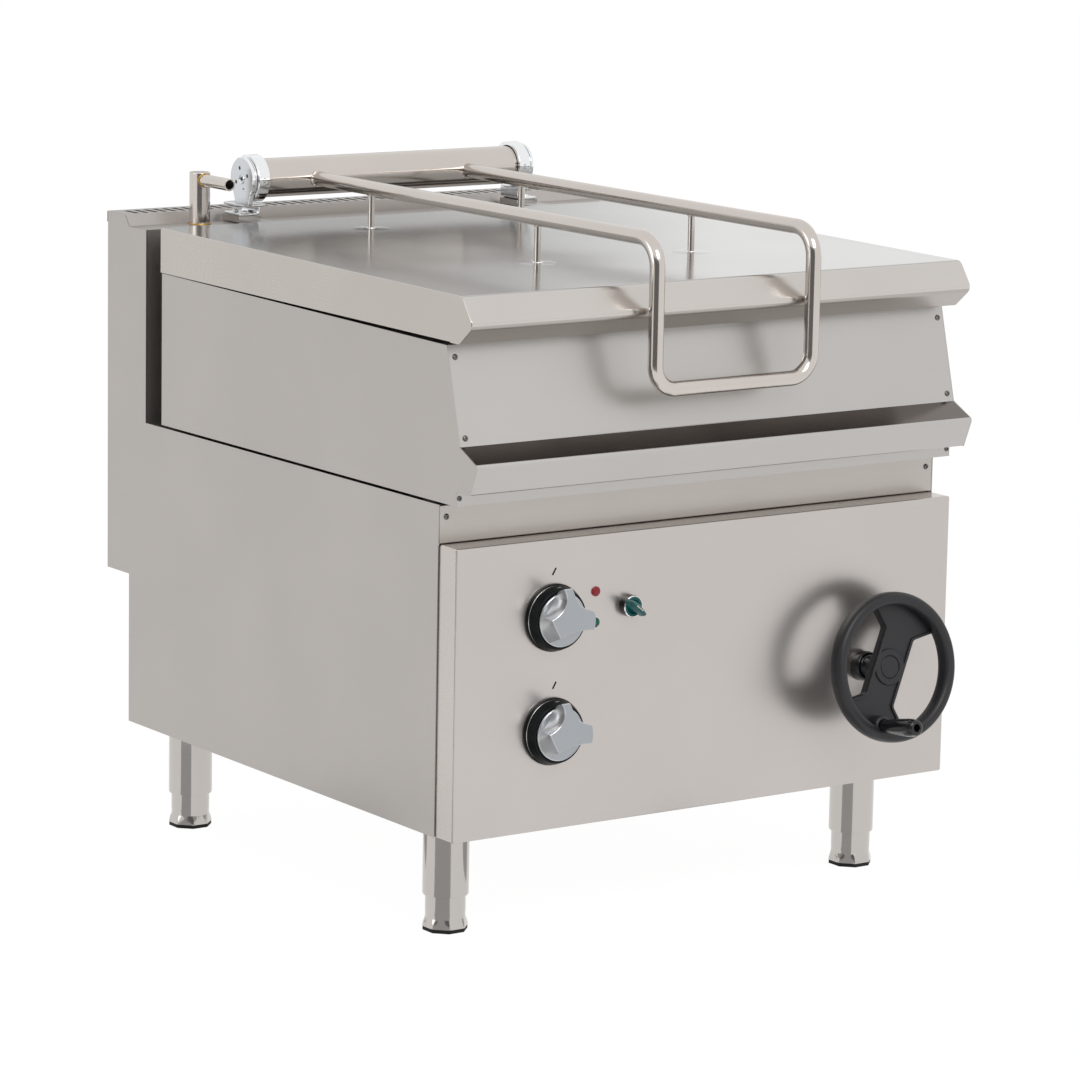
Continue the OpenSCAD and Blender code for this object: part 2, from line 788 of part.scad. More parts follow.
module pinion_shaft() {
    turn = 180 - mesh_angle + 180 / pinion_teeth;
    x1 = quadrant_x + quadrant_t / 2 + seat_gap * 10;
    color("#9a9da0")
        union() {
            bar_x(shaft_r, wheel_x - worm_r, x1 + shaft_r, pinion_y, pinion_z);
            bar_x(worm_wheel_r, wheel_x - worm_r / 2, wheel_x + worm_r / 2, pinion_y, pinion_z);
            translate([0, pinion_y, pinion_z])
                across(quadrant_x - quadrant_t / 2 - seat_gap * 10, x1)
                    polygon([for (k = [0 : pinion_teeth - 1])
                        each tooth_pts(pinion_pitch_r, turn + k * 360 / pinion_teeth, tooth_top, tooth_root)]);
        }
}

// Toothed plate fixed under the pan, with its foot
module tilt_quadrant() {
    step = 360 / quadrant_teeth;
    low_teeth = ceil((tilt_travel + step) / step);
    root_r = quadrant_pitch_r - tooth_root;
    foot_y0 = tank_front + plate_t * 4;
    foot_y1 = pivot_y + sqrt(pow(quadrant_pitch_r - tooth_root, 2) - pow(pivot_h, 2)) - gear_module;
    end_a = -mesh_angle - (low_teeth + 1) * step;
    hole_r = root_r / 10;
    color("#7d8084")
        difference() {
            union() {
                across(quadrant_x - quadrant_t / 2, quadrant_x + quadrant_t / 2)
                    polygon(concat(
                        [[foot_y0, pan_z]],
                        [[pivot_y, pivot_z] + root_r * [cos(end_a), sin(end_a)]],
                        [for (k = [-low_teeth : 1]) each
                            [for (p = tooth_pts(quadrant_pitch_r, -mesh_angle + k * step, tooth_top, tooth_root))
                                [pivot_y, pivot_z] + p]],
                        [[foot_y1, pan_z]]));
                block([quadrant_x - tube_w, foot_y0, pan_z - plate_t], [quadrant_x + tube_w, foot_y1, pan_z]);
            }
            for (s = [[-24, 0.62], [-40, 0.8], [-57, 0.86], [-24, 0.86]])
                bar_x(hole_r, quadrant_x - quadrant_t, quadrant_x + quadrant_t,
                    pivot_y + root_r * s[1] * cos(s[0]), pivot_z + root_r * s[1] * sin(s[0]));
        }
}

// Bearings that stand on the deck and reach forward to the pan's pivot
module pivot_bearings() {
    w = plate_t + seat_gap * 20;
    eye_r = pivot_r + plate_t;
    foot_z = deck_z + sheet_t;
    foot_y = frame_front;
    color("#6d7378")
        both()
            difference() {
                union() {
                    bar_x(eye_r, bearing_x - w / 2, bearing_x + w / 2, pivot_y, pivot_z);
                    across(bearing_x - w / 2, bearing_x + w / 2)
                        polygon([[pivot_y + eye_r * cos(44), pivot_z - eye_r * sin(44)],
                            [foot_y, foot_z + plate_t], [foot_y, foot_z], [foot_y + tube_w, foot_z],
                            [foot_y + tube_w, foot_z + plate_t * 2], [pivot_y + eye_r * cos(6), pivot_z - eye_r * sin(6)]]);
                    block([bearing_x - w * 1.8, foot_y, foot_z], [bearing_x + w * 1.8, foot_y + tube_w, foot_z + plate_t]);
                }
                bar_x(pivot_r + run_gap, bearing_x - w, bearing_x + w, pivot_y, pivot_z);
            }
}

// Lugs on the tank's front wall with the pins that turn in the bearings
module pivot_lugs() {
    gap = plate_t / 2 + seat_gap * 15;
    eye_r = pivot_r + plate_t;
    wall_y = tank_front - tank_wall;
    color("#9a9da0")
        both() {
            for (x = [bearing_x - gap - plate_t, bearing_x + gap]) {
                bar_x(eye_r, x, x + plate_t, pivot_y, pivot_z);
                across(x, x + plate_t)
                    polygon([[pivot_y, pivot_z + eye_r], [pivot_y, pivot_z - eye_r / 4], [lug_wall(tank_z), tank_z],
                        [lug_wall(pivot_z + eye_r * 1.5), pivot_z + eye_r * 1.5]]);
            }
            block([tank_half, wall_y - plate_t * 2, tank_z], [bearing_x + gap + plate_t, wall_y, tank_z + plate_t * 3]);
            block([tank_half, wall_y - over, tank_z], [tank_half + plate_t, wall_y + pan_h / 4, tank_z + plate_t * 3]);
            bar_x(pivot_r, bearing_x - gap - plate_t - seat_gap, bearing_x + gap + plate_t + seat_gap,
                pivot_y, pivot_z);
        }
}

// Depth of the tank's front wall, outside, at a height
function lug_wall(z) = tank_front - tank_wall
    - (z - tank_z) * (tank_front - tank_lip) / (rim_z - tank_z);

module wheel_bushing() {
    color("#1d1d1f")
        difference() {
            on_wheel_axis(0)
                translate([0, 0, -sheet_t * 4])
                    cylinder(r = sleeve_r, h = wheel_out - rim_d * 1.1 + sheet_t * 4);
            on_wheel_axis(0)
                translate([0, 0, -shaft_r * 3])
                    cylinder(r = shaft_r + run_gap, h = wheel_out * 2);
            block([wheel_x - sleeve_r * 2, fascia_y, wheel_z - sleeve_r * 2],
                [wheel_x + sleeve_r * 2, fascia_y + sleeve_r * 2, wheel_z + sleeve_r * 2]);
        }
}

// Handwheel: a rim, two fan-shaped webs and a hub, drawn along +Z with the rim's middle at zero
module wheel_shape() {
    in_r = wheel_r - rim_w;
    edge = rim_d / 4;
    difference() {
        union() {
            rotate_extrude()
                polygon([[in_r, -rim_d / 2 + edge], [in_r + edge, -rim_d / 2], [wheel_r - edge, -rim_d / 2],
                    [wheel_r, -rim_d / 2 + edge], [wheel_r, rim_d / 2 - edge], [wheel_r - edge, rim_d / 2],
                    [in_r + edge, rim_d / 2], [in_r, rim_d / 2 - edge]]);
            for (turn = [0, 180])
                rotate([0, 0, turn + fan_angle])
                    translate([0, 0, -rim_d / 2 + seat_gap])
                        linear_extrude(rim_d / 6)
                            polygon([[0, hub_r * 0.9], [in_r * 0.555, in_r * 0.287], [in_r * 0.842, in_r * 0.641],
                                [in_r * 0.995, in_r * 0.362], [in_r * 1.06, 0], [in_r * 0.995, -in_r * 0.362],
                                [in_r * 0.842, -in_r * 0.641], [in_r * 0.555, -in_r * 0.287],
                                [0, -hub_r * 0.9]]);
            translate([0, 0, hub_front - hub_d])
                cylinder(r = hub_r, h = hub_d);
        }
        translate([0, 0, hub_front - hub_d - over])
            cylinder(r = shaft_r + run_gap, h = hub_d + over - pipe_wall * 1.5);
        translate([0, 0, hub_front - pipe_wall])
            cylinder(r = hub_cap_r, h = rim_d);
        translate([crank_r * cos(crank_angle), crank_r * sin(crank_angle), boss_top])
            cylinder(r = grip_r + screw_h, h = rim_d);
    }
}

// Front of the hub, measured from the rim's middle, the hub's length and the shaft's end in it
hub_front = -rim_d / 4;
hub_d = rim_d * 0.65;
shaft_end = hub_front - pipe_wall * 1.5 - seat_gap;

// Height of the crank's boss and of the bright neck on it, over the middle of the rim
boss_top = -pipe_wall;
neck_l = pipe_wall * 1.5;
grip_end_r = grip_r * 0.85;

module handwheel() {
    color("#1d1d1f")
        on_wheel_axis(-wheel_out)
            difference() {
                union() {
                    wheel_shape();
                    translate([crank_r * cos(crank_angle), crank_r * sin(crank_angle), -rim_d / 2 + seat_gap])
                        cylinder(r = grip_r, h = rim_d / 2 - seat_gap + boss_top);
                }
                translate([crank_r * cos(crank_angle), crank_r * sin(crank_angle), -rim_d])
                    cylinder(r = grip_r / 3, h = rim_d * 2);
            }
}

module wheel_shaft() {
    color("#9a9da0")
        on_wheel_axis(wheel_reach)
            bevel_blank(wheel_reach + wheel_out + shaft_end);
}

module hub_cap() {
    color("#232326")
        on_wheel_axis(-wheel_out - hub_front + pipe_wall)
            cylinder(r = hub_cap_r - run_gap, h = pipe_wall + run_gap * 5);
}

module on_crank(s) {
    on_wheel_axis(-wheel_out)
        translate([crank_r * cos(crank_angle), crank_r * sin(crank_angle), s])
            children();
}

// The screw that the grip turns on, with the bright neck in front of the rim
module crank_pin() {
    color("#d9dadc")
        on_crank(0) {
            translate([0, 0, -rim_d / 2 + seat_gap])
                cylinder(r = grip_r / 3 - run_gap, h = rim_d / 2 + grip_l * 0.8);
            translate([0, 0, boss_top])
                cylinder(r = grip_r * 0.62, h = neck_l);
        }
}

module crank_grip() {
    bore = grip_r / 3 - run_gap + run_gap * 1.6;
    color("#1d1d1f")
        on_crank(boss_top + neck_l + seat_gap)
            rotate_extrude()
                polygon([[bore, 0], [grip_r * 0.58, 0], [grip_r * 0.7, grip_l * 0.12], [grip_r * 0.95, grip_l * 0.6],
                    [grip_r, grip_l * 0.8], [grip_r, grip_l * 0.94], [grip_end_r, grip_l], [bore * 1.4, grip_l],
                    [bore * 1.4, grip_l * 0.86], [bore, grip_l * 0.86]]);
}

// Controls

function knob_z(i) = leg_space + knob_h + i * knob_pitch;
function lamp_z(i) = leg_space + lamp_h + i * lamp_pitch / 2;

module thermostats() {
    color("#cfcac0")
        for (i = [0, 1]) {
            bar_y(shaft_r - run_gap, sheet_t + seat_gap, -knob_x, fascia_y + sheet_t, knob_z(i));
            block([-knob_x - tube_w, fascia_y + sheet_t, knob_z(i) - tube_w],
                [-knob_x + tube_w, fascia_y + sheet_t + tube_w, knob_z(i) + tube_w]);
            difference() {
                bar_y(skirt_r + sheet_t, sheet_t, -knob_x, fascia_y, knob_z(i));
                bar_y(shaft_r * 2, sheet_t * 3, -knob_x, fascia_y + sheet_t, knob_z(i));
            }
        }
}

module knob_skirt(i) {
    color("#1f2224")
        difference() {
            bar_y(skirt_r, skirt_d, -knob_x, fascia_y - sheet_t - seat_gap, knob_z(i), skirt_r * 0.97);
            bar_y(shaft_r * 1.5, skirt_d * 2, -knob_x, fascia_y, knob_z(i));
        }
}

module knob_cap(i) {
    y = fascia_y - sheet_t - seat_gap - skirt_d;
    color("#c2c4c4") {
        bar_y(cap_r, cap_d * 0.25, -knob_x, y, knob_z(i));
        bar_y(shaft_r * 1.5 - run_gap, skirt_d, -knob_x, y + skirt_d, knob_z(i));
        translate([-knob_x, y, knob_z(i)])
            rotate([90, 0, 0])
                linear_extrude(cap_d)
                    polygon([[-cap_r * 0.85, cap_r * 0.1], [-cap_r * 0.2, cap_r * 0.62], [cap_r * 0.25, knob_grip_w * 0.75],
                        [cap_r * 0.95, knob_grip_w / 2], [cap_r * 0.95, -knob_grip_w / 2],
                        [cap_r * 0.25, -knob_grip_w * 0.65], [-cap_r * 0.55, -cap_r * 0.5]]);
    }
}

module knob_skirt_upper() {
    knob_skirt(1);
}

module knob_cap_upper() {
    knob_cap(1);
}

module knob_skirt_lower() {
    knob_skirt(0);
}

module knob_cap_lower() {
    knob_cap(0);
}

module lamp(i) {
    bar_y(lamp_r, lamp_r / 2, -lamp_x, fascia_y, lamp_z(i), lamp_r * 0.8);
    bar_y(lamp_r - sheet_t - run_gap, tube_w, -lamp_x, fascia_y + tube_w, lamp_z(i));
}

module red_lamp() {
    color("#9c2b2e")
        lamp(1);
}

module green_lamp() {
    color("#1d6a55")
        lamp(-1);
}

module selector_switch() {
    z = selector_z;
    bore = selector_r * 0.72;
    color("#cfd1d2")
        difference() {
            union() {
                bar_y(selector_r, selector_d, -selector_x, fascia_y, z);
                bar_y(selector_r - sheet_t * 2 - run_gap, tube_w, -selector_x, fascia_y + tube_w, z);
            }
            bar_y(bore, selector_d, -selector_x, fascia_y - selector_d / 2, z);
            bar_y(bore / 2, selector_d * 2, -selector_x, fascia_y + selector_d / 2, z);
        }
}

module selector_handle() {
    z = selector_z;
    bore = selector_r * 0.72;
    y = fascia_y - selector_d / 2 - seat_gap;
    color("#1c6f66") {
        bar_y(bore - run_gap, selector_d / 2, -selector_x, y, z);
        bar_y(bore / 2 - run_gap, selector_d + seat_gap * 2, -selector_x, fascia_y + selector_d / 2, z);
        translate([-selector_x, y - selector_d / 2, z])
            rotate([90, 33, 0])
                linear_extrude(selector_r * 0.8)
                    polygon([[-bore * 0.9, bore * 0.3], [-bore * 0.9, -bore * 0.3], [selector_r * 1.45, -bore * 0.22],
                        [selector_r * 1.45, bore * 0.22]]);
    }
}

module screw_y(x, y, z) {
    bar_y(screw_r, screw_h, x, y, z, screw_r * 0.7);
    bar_y(screw_r / 2 - run_gap, sheet_t * 2, x, y + sheet_t * 2, z);
}

module cabinet_screws() {
    color("#c9c9c9")
        both()
            screw_y(in_half - screw_inset, 0, cab_top - rail_screw_drop);
}

module rest_pads() {
    pad = tube_w;
    color("#1a1a1a")
        both()
            translate([tank_half - pad, tank_rear - pad, deck_z + sheet_t])
                cylinder(r = pad / 2, h = pan_z - deck_z - sheet_t - seat_gap);
}

// Legs

module leg_sleeves() {
    bead = sleeve_leg_r - foot_r;
    color("#b4b0ac")
        both()
            for (y = [leg_front, leg_rear])
                difference() {
                    translate([leg_x, y, foot_show])
                        cylinder(r = sleeve_leg_r, h = base_z - foot_show);
                    translate([leg_x, y, foot_show - over])
                        cylinder(r = foot_r + run_gap, h = base_z - foot_show + over - bead);
                }
}

module foot(x, y) {
    color("#b4b0ac")
        translate([x, y, 0]) {
            translate([0, 0, pad_t])
                cylinder(r = foot_r * 1.06 / cos(22.5), h = pad_t * 1.6, $fn = 8);
            translate([0, 0, pad_t])
                cylinder(r = foot_r, h = foot_show - pad_t + foot_hidden);
        }
    color("#1a1a1a")
        translate([x, y, 0])
            cylinder(r = foot_r * 1.02, h = pad_t);
}

module foot_front_left() {
    foot(-leg_x, leg_front);
}

module foot_front_right() {
    foot(leg_x, leg_front);
}

module foot_rear_left() {
    foot(-leg_x, leg_rear);
}

module foot_rear_right() {
    foot(leg_x, leg_rear);
}

// Pan

// The outside of the casing's front, from the top edge down to the strip's lower edge
function front_path() = concat(
    [[-front_top, rim_z], [-front_low, pan_z + front_low_h]],
    arc_pts([lip_r - lip_out, pan_z + lip_h], lip_r, 130, 200, 4),
    [[-lip_low_out, pan_z + lip_low_h], [-strip_out, pan_z + lip_low_h], [-strip_out, pan_z]]);

// Height of the lid's lower edge at y, along its sides
function lid_low_z(y) = lid_z + lid_rise * (y + under_out / 2) / (lid_rear + under_out / 2);

module pan_sides() {
    color("#b7b2ad")
        both()
            across(in_half - sheet_t, in_half)
                polygon(concat(front_path(), [[pan_back, pan_z], [pan_back, lid_low_z(pan_back) - lid_back_gap]]));
}

module pan_front_panel() {
    x = in_half - sheet_t;
    color("#c5c0ba")
        across(-x, x)
            polygon(fold(front_path(), sheet_t));
}

module pan_rear_panel() {
    x = in_half - sheet_t;
    color("#b7b2ad")
        block([-x, pan_back - sheet_t, pan_z], [x, pan_back, rim_z]);
}

module pan_bottom_cover() {
    x = in_half - sheet_t;
    color("#a8a4a0")
        block([-x, tank_front, pan_z], [x, pan_back - sheet_t, pan_z + sheet_t]);
}

module tank() {
    x = in_half - sheet_t;
    rim_y = sheet_t + seat_gap - front_top;
    spill_y = rim_y - front_top - seat_gap * 5;
    color("#bdbab6")
        difference() {
            union() {
                across(-tank_half, tank_half)
                    polygon([[tank_front - tank_wall, tank_z], [tank_rear, tank_z], [tank_rear, rim_z],
                        [tank_lip - tank_wall, rim_z]]);
                block([-x, rim_y, rim_z - tank_wall], [x, pan_back - sheet_t, rim_z]);
                across(-pour_half_w, pour_half_w)
                    polygon([[tank_lip, rim_z - tank_wall], [rim_y, rim_z], [spill_y, rim_z + sheet_t],
                        [spill_y, rim_z + sheet_t * 2], [tank_lip, rim_z]]);
            }
            across(tank_wall - tank_half, tank_half - tank_wall)
                polygon([[tank_front, tank_floor_z], [tank_rear - tank_wall, tank_floor_z],
                    [tank_rear - tank_wall, rim_z + over], [tank_lip - over / 4, rim_z + over]]);
        }
}

// Hairpin heating rods clamped under the tank's floor
module heating_elements() {
    z = tank_z - rod_r;
    x = tank_half - rod_pitch;
    rows = floor((tank_rear - tank_front) / rod_pitch / 2) - 1;
    color("#5b5550")
        for (i = [0 : rows]) {
            y = tank_front + rod_pitch + i * 2 * rod_pitch;
            bar_x(rod_r, -x, x, y, z);
            bar_x(rod_r, -x, x, y + rod_pitch, z);
            translate([x, y + rod_pitch / 2, z])
                rotate([0, 0, -90])
                    rotate_extrude(angle = 180)
                        translate([rod_pitch / 2, 0])
                            circle(r = rod_r);
        }
}

module pan_screws() {
    slope = (front_low - front_top) / (pan_h - front_low_h);
    lean = atan(slope);
    color("#c9c9c9")
        both() {
            for (z = [rim_z - screw_inset * 1.5, pan_z + front_low_h + screw_inset])
                translate([in_half - screw_inset, -front_top - (rim_z - z) * slope, z])
                    rotate([-lean, 0, 0])
                        bar_y(screw_r, screw_h, 0, 0, 0, screw_r * 0.7);
            bar_y(screw_r, screw_h, in_half - screw_inset / 2, -strip_out, pan_z + screw_inset, screw_r * 0.7);
        }
}

// Arms on the pan's back that carry the lid's hinge over the flue's ledge
module hinge_supports() {
    z0 = ledge_z + sheet_t;
    lean_y = lid_rear + seat_gap * 10;
    arm_y = lean_y + support_t;
    y1 = flue_y + plate_t + bracket_d;
    color("#8d8f91")
        hinge_ends()
            across(web_x - bracket_t, web_x - bracket_t + bracket_w + sheet_t)
                polygon([[pan_back, rim_z - pan_h * 0.6], [arm_y, rim_z - pan_h * 0.6], [arm_y, z0],
                    [y1, z0], [y1, z0 + support_t + block_h], [flue_y + plate_t, z0 + support_t + block_h],
                    [flue_y + plate_t, z0 + support_t - sheet_t], [lean_y, z0 + support_t - sheet_t],
                    [lean_y, rim_z - sheet_t], [pan_back, rim_z - sheet_t]]);
}

function bracket_z() = ledge_z + sheet_t + support_t + block_h;

// The channel-shaped bracket at one end, from its web outwards
module bracket_shape() {
    z0 = bracket_z();
    z1 = z0 + bracket_h;
    y0 = flue_y + plate_t;
    y1 = y0 + bracket_d;
    x1 = web_x - bracket_t + bracket_w;
    block([web_x - bracket_t, y0, z0], [web_x, y1, z1]);
    block([web_x - bracket_t, y0, z0], [x1, y1, z0 + bracket_t]);
    block([web_x - bracket_t, hinge_y - collar_r / 2, z1 - bracket_t], [x1, y1, z1]);
}

// A spring hub at the tube's end, with its pin into the tube
module spring_hub(end) {
    hub0 = end + seat_gap;
    hub1 = hub0 + spring_hub_w;
    z1 = bracket_z() + bracket_h;
    difference() {
        union() {
            bar_x(spring_hub_r, hub0, hub1, hinge_y, hinge_z);
            block([hub0, hinge_y - collar_r / 2, z1 - bracket_t / 2], [hub1, hinge_y + collar_r / 2, hinge_z]);
        }
        for (i = [0 : 3])
            hub_hole(i)
                bar_x(screw_r * 0.7, hub1 - bracket_t, hub1 + over, 0, 0);
    }
    bar_x(screw_r * 1.3, hub1, hub1 + sheet_t, hinge_y, hinge_z);
    bar_x(pivot_r, end - collar_w - plate_t * 2, hub0 + over, hinge_y, hinge_z);
}

// Places one of the four holes of a spring hub
module hub_hole(i) {
    a = hub_hole_turn + i * 90;
    translate([0, hinge_y + spring_hub_r * 0.52 * cos(a), hinge_z + spring_hub_r * 0.52 * sin(a)])
        children();
}

module hinge_brackets() {
    color("#cfd1d2") {
        hinge_ends()
            bracket_shape();
        spring_hub(tube_right);
        mirror([1, 0, 0])
            spring_hub(tube_left);
    }
}

// Lid

// The lid's outside in Y and Z: lower fold, nose, top and back
function lid_path() = concat(
    [[-under_out / 2, lid_z], [-under_out, lid_z]],
    arc_pts([nose_r - nose_out, lid_z + nose_h], nose_r, 235, 150, 5),
    arc_pts([-top_out - lip_r, lid_z + lid_h - 2 * lip_r], 2 * lip_r, 150, 90, 4),
    [[lid_rear, lid_z + lid_h + lid_rise], [lid_rear, lid_z + lid_rise]]);

module lid_shell() {
    x = half_w - sheet_t / 2;
    color("#d3d2d0") {
        across(-x, x)
            polygon(fold(lid_path(), -sheet_t));
        both()
            across(x - sheet_t, x)
                polygon(lid_path());
    }
}

// The lid's inner sheet, which lies on the lower fold; its underside rises to the back
liner_y = -under_out * 0.8;
function liner_z(y) = lid_z + sheet_t + lid_rise * (y - liner_y) / (lid_rear - sheet_t - liner_y);

module lid_liner() {
    x = half_w - sheet_t * 1.5;
    y1 = lid_rear - sheet_t;
    color("#bdbab6")
        across(-x, x)
            polygon([[liner_y, liner_z(liner_y)], [y1, liner_z(y1)], [y1, liner_z(y1) + sheet_t],
                [liner_y, liner_z(liner_y) + sheet_t]]);
}

function lid_top_z(y) = lid_z + lid_h + lid_rise * (y + top_out) / (lid_rear + top_out);

// A quarter bend of round bar, from +Y at its start to +Z at its end, centred on the inside
module bend(r, bar) {
    rotate_extrude(angle = 90)
        translate([r, 0])
            circle(r = bar);
}

// Turns and moves what is drawn about the middle to the handle's place
module handle_place() {
    translate([-handle_shift, -handle_out, 0])
        rotate([0, 0, handle_skew])
            translate([0, handle_out, 0])
                children();
}

// The bent tube of the arms and the grip, as a solid bar of a given radius
module handle_bar(r, end) {
    front = -handle_out;
    low = arm_z - handle_drop;
    corner = bend_r * 0.9;
    back = hinge_y - tube_r * 0.8;
    both() {
        bar_y(r, back - front - bend_r + end, arm_x, back + end, arm_z);
        bend_yz(arm_x, front + bend_r, arm_z - bend_r, bend_r, r, 90);
        translate([arm_x, front, low + corner])
            cylinder(r = r, h = handle_drop - bend_r - corner);
        translate([arm_x - corner, front, low + corner])
            rotate([90, 0, 0])
                rotate([0, 0, -90])
                    bend(corner, r);
    }
    bar_x(r, corner - arm_x, arm_x - corner, front, low);
}

module lid_handle() {
    color("#a9a49e")
        handle_place() {
            difference() {
                handle_bar(arm_r, 0);
                handle_bar(arm_r - pipe_wall, over);
            }
            both()
                for (y = [post_front, post_rear])
                    translate([arm_x, y, lid_top_z(y) + seat_gap / 4])
                        cylinder(r = post_r, h = arm_z - arm_r + pipe_wall / 2 - lid_top_z(y) - seat_gap / 4);
        }
}

module hinge_tube() {
    plug = collar_w + plate_t;
    color("#b9b4ae")
        difference() {
            bar_x(tube_r, -tube_left, tube_right, hinge_y, hinge_z);
            bar_x(tube_r - sheet_t, plug - tube_left, tube_right - plug, hinge_y, hinge_z);
            bar_x(pivot_r + run_gap, -tube_left - over, tube_right + over, hinge_y, hinge_z);
            handle_place()
                for (s = [-1, 1])
                    bar_y(arm_r + run_gap, tube_r, s * arm_x, hinge_y - tube_r * 0.8, arm_z);
        }
}

// A split clamp collar whose left side is at x
module tube_collar(x) {
    difference() {
        bar_x(collar_r, x, x + collar_w, hinge_y, hinge_z);
        bar_x(tube_r + run_gap, x - over, x + collar_w + over, hinge_y, hinge_z);
        block([x - over, hinge_y - collar_r - over, hinge_z - sheet_t / 4],
            [x + collar_w + over, hinge_y - tube_r + over, hinge_z + sheet_t / 4]);
    }
}

module tube_collars() {
    color("#cfd1d2") {
        tube_collar(-tube_left);
        tube_collar(tube_right - collar_w);
    }
}

module torsion_spring() {
    outer = tube_r - sheet_t - seat_gap;
    wire = tube_r * 0.2;
    length = arm_x * 2 - arm_r * 6;
    mid = (tube_right - tube_left) / 2;
    color("#77797b")
        difference() {
            bar_x(outer, mid - length / 2, mid + length / 2, hinge_y, hinge_z);
            bar_x(outer - wire, mid - length, mid + length, hinge_y, hinge_z);
        }
}

module lid_buffers() {
    x = tank_half + tank_side / 2;
    color("#1a1a1a")
        both()
            for (y = [tank_lip + tank_side, tank_rear])
                translate([x, y, rim_z])
                    cylinder(r = arm_r / 2, h = liner_z(y) - rim_z - seat_gap);
}

// The model's origin is on the floor, in the middle of the whole depth
front_reach = -along(-wheel_out - boss_top - neck_l - seat_gap - grip_l)[0]
    + (grip_end_r - crank_r * sin(crank_angle)) * sin(wheel_slope);
back_reach = upper_d + inlet_l;
y_mid = (back_reach - front_reach) / 2;

module placed() {
    translate([0, -y_mid, 0])
        children();
}

placed() side_panel_left();
placed() side_panel_right();
placed() base_plate();
placed() cabinet_frame();
placed() deck_plate();
placed() front_rail();
placed() front_panel();
placed() rear_panel();
placed() flue_housing();
placed() flue_cap();
placed() water_spout();
placed() fill_pipe();
placed() solenoid_valve();
placed() cable_gland();
placed() terminal_box();
placed() worm_box();
placed() bevel_box();
placed() pivot_bearings();
placed() wheel_bushing();
placed() leg_sleeves();
placed() red_lamp();
placed() green_lamp();
placed() selector_switch();
placed() thermostats();
placed() cabinet_screws();
placed() rest_pads();
placed() handwheel();
placed() wheel_shaft();
placed() hub_cap();
placed() crank_pin();
placed() crank_grip();
placed() drive_shaft();
placed() pinion_shaft();
placed() knob_skirt_upper();
placed() knob_cap_upper();
placed() knob_skirt_lower();
placed() knob_cap_lower();
placed() selector_handle();
placed() foot_front_left();
placed() foot_front_right();
placed() foot_rear_left();
placed() foot_rear_right();
placed() pan_sides();
placed() pan_front_panel();
placed() pan_rear_panel();
placed() pan_bottom_cover();
placed() tank();
placed() heating_elements();
placed() pivot_lugs();
placed() tilt_quadrant();
placed() hinge_supports();
placed() hinge_brackets();
placed() pan_screws();
placed() lid_shell();
placed() lid_liner();
placed() lid_handle();
placed() hinge_tube();
placed() tube_collars();
placed() torsion_spring();
placed() lid_buffers();
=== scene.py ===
"""Looks of the tilting bratt pan. Lengths are in millimetres of the machine until P() turns them into the
shared frame: X across the front, Y back from the front edge of the side panels, Z up from the floor."""
import json
import math

import bmesh
import bpy
from mathutils import Matrix, Vector


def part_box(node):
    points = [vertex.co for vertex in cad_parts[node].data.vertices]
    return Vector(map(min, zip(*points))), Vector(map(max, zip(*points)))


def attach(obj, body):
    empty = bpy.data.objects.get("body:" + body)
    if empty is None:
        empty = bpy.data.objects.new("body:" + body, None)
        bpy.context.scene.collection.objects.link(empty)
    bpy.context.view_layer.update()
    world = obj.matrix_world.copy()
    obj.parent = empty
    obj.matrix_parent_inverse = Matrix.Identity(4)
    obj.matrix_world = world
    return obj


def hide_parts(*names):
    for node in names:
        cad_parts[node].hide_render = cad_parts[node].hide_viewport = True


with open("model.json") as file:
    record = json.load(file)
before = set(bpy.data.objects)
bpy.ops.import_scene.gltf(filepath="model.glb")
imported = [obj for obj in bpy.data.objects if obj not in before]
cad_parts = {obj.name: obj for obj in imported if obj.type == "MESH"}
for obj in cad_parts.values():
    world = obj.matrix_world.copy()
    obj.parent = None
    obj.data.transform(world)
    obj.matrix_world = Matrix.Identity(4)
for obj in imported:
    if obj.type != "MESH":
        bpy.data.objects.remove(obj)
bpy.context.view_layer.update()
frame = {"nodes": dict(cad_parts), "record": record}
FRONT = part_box("side_panel_left")[0].y


def P(x, y, z):
    return Vector((x / 1000, FRONT + y / 1000, z / 1000))


X, Y, Z = Vector((1, 0, 0)), Vector((0, 1, 0)), Vector((0, 0, 1))
ORIGIN = (0, 0, 0)
# sheet thickness, and the control panel's face and outline
SHEET, FACE_Y = 1.5, -40.0
PANEL_HALF, PANEL_LOW, PANEL_TOP = 398, 145, 523


# materials
def new_mat(name):
    m = bpy.data.materials.new(name)
    m.use_nodes = True
    n, k = m.node_tree.nodes, m.node_tree.links
    b = n["Principled BSDF"]
    return m, n, k, b


def noise(n, k, scale, stretch=(1, 1, 1), detail=3.0, rough=0.55):
    tc = n.new("ShaderNodeTexCoord")
    mp = n.new("ShaderNodeMapping")
    mp.inputs["Scale"].default_value = stretch
    t = n.new("ShaderNodeTexNoise")
    t.inputs["Scale"].default_value = scale
    t.inputs["Detail"].default_value = detail
    t.inputs["Roughness"].default_value = rough
    k.new(tc.outputs["Object"], mp.inputs["Vector"])
    k.new(mp.outputs["Vector"], t.inputs["Vector"])
    return t.outputs["Fac"]


def span(n, k, src, lo, hi, a=0.3, b=0.7):
    r = n.new("ShaderNodeMapRange")
    r.inputs["From Min"].default_value = a
    r.inputs["From Max"].default_value = b
    r.inputs["To Min"].default_value = lo
    r.inputs["To Max"].default_value = hi
    k.new(src, r.inputs["Value"])
    return r.outputs["Result"]


def tint(n, k, src, c1, c2, a=0.3, b=0.7):
    f = span(n, k, src, 0.0, 1.0, a, b)
    m = n.new("ShaderNodeMix")
    m.data_type = "RGBA"
    m.inputs["A"].default_value = (*c1, 1)
    m.inputs["B"].default_value = (*c2, 1)
    k.new(f, m.inputs["Factor"])
    return m.outputs["Result"]


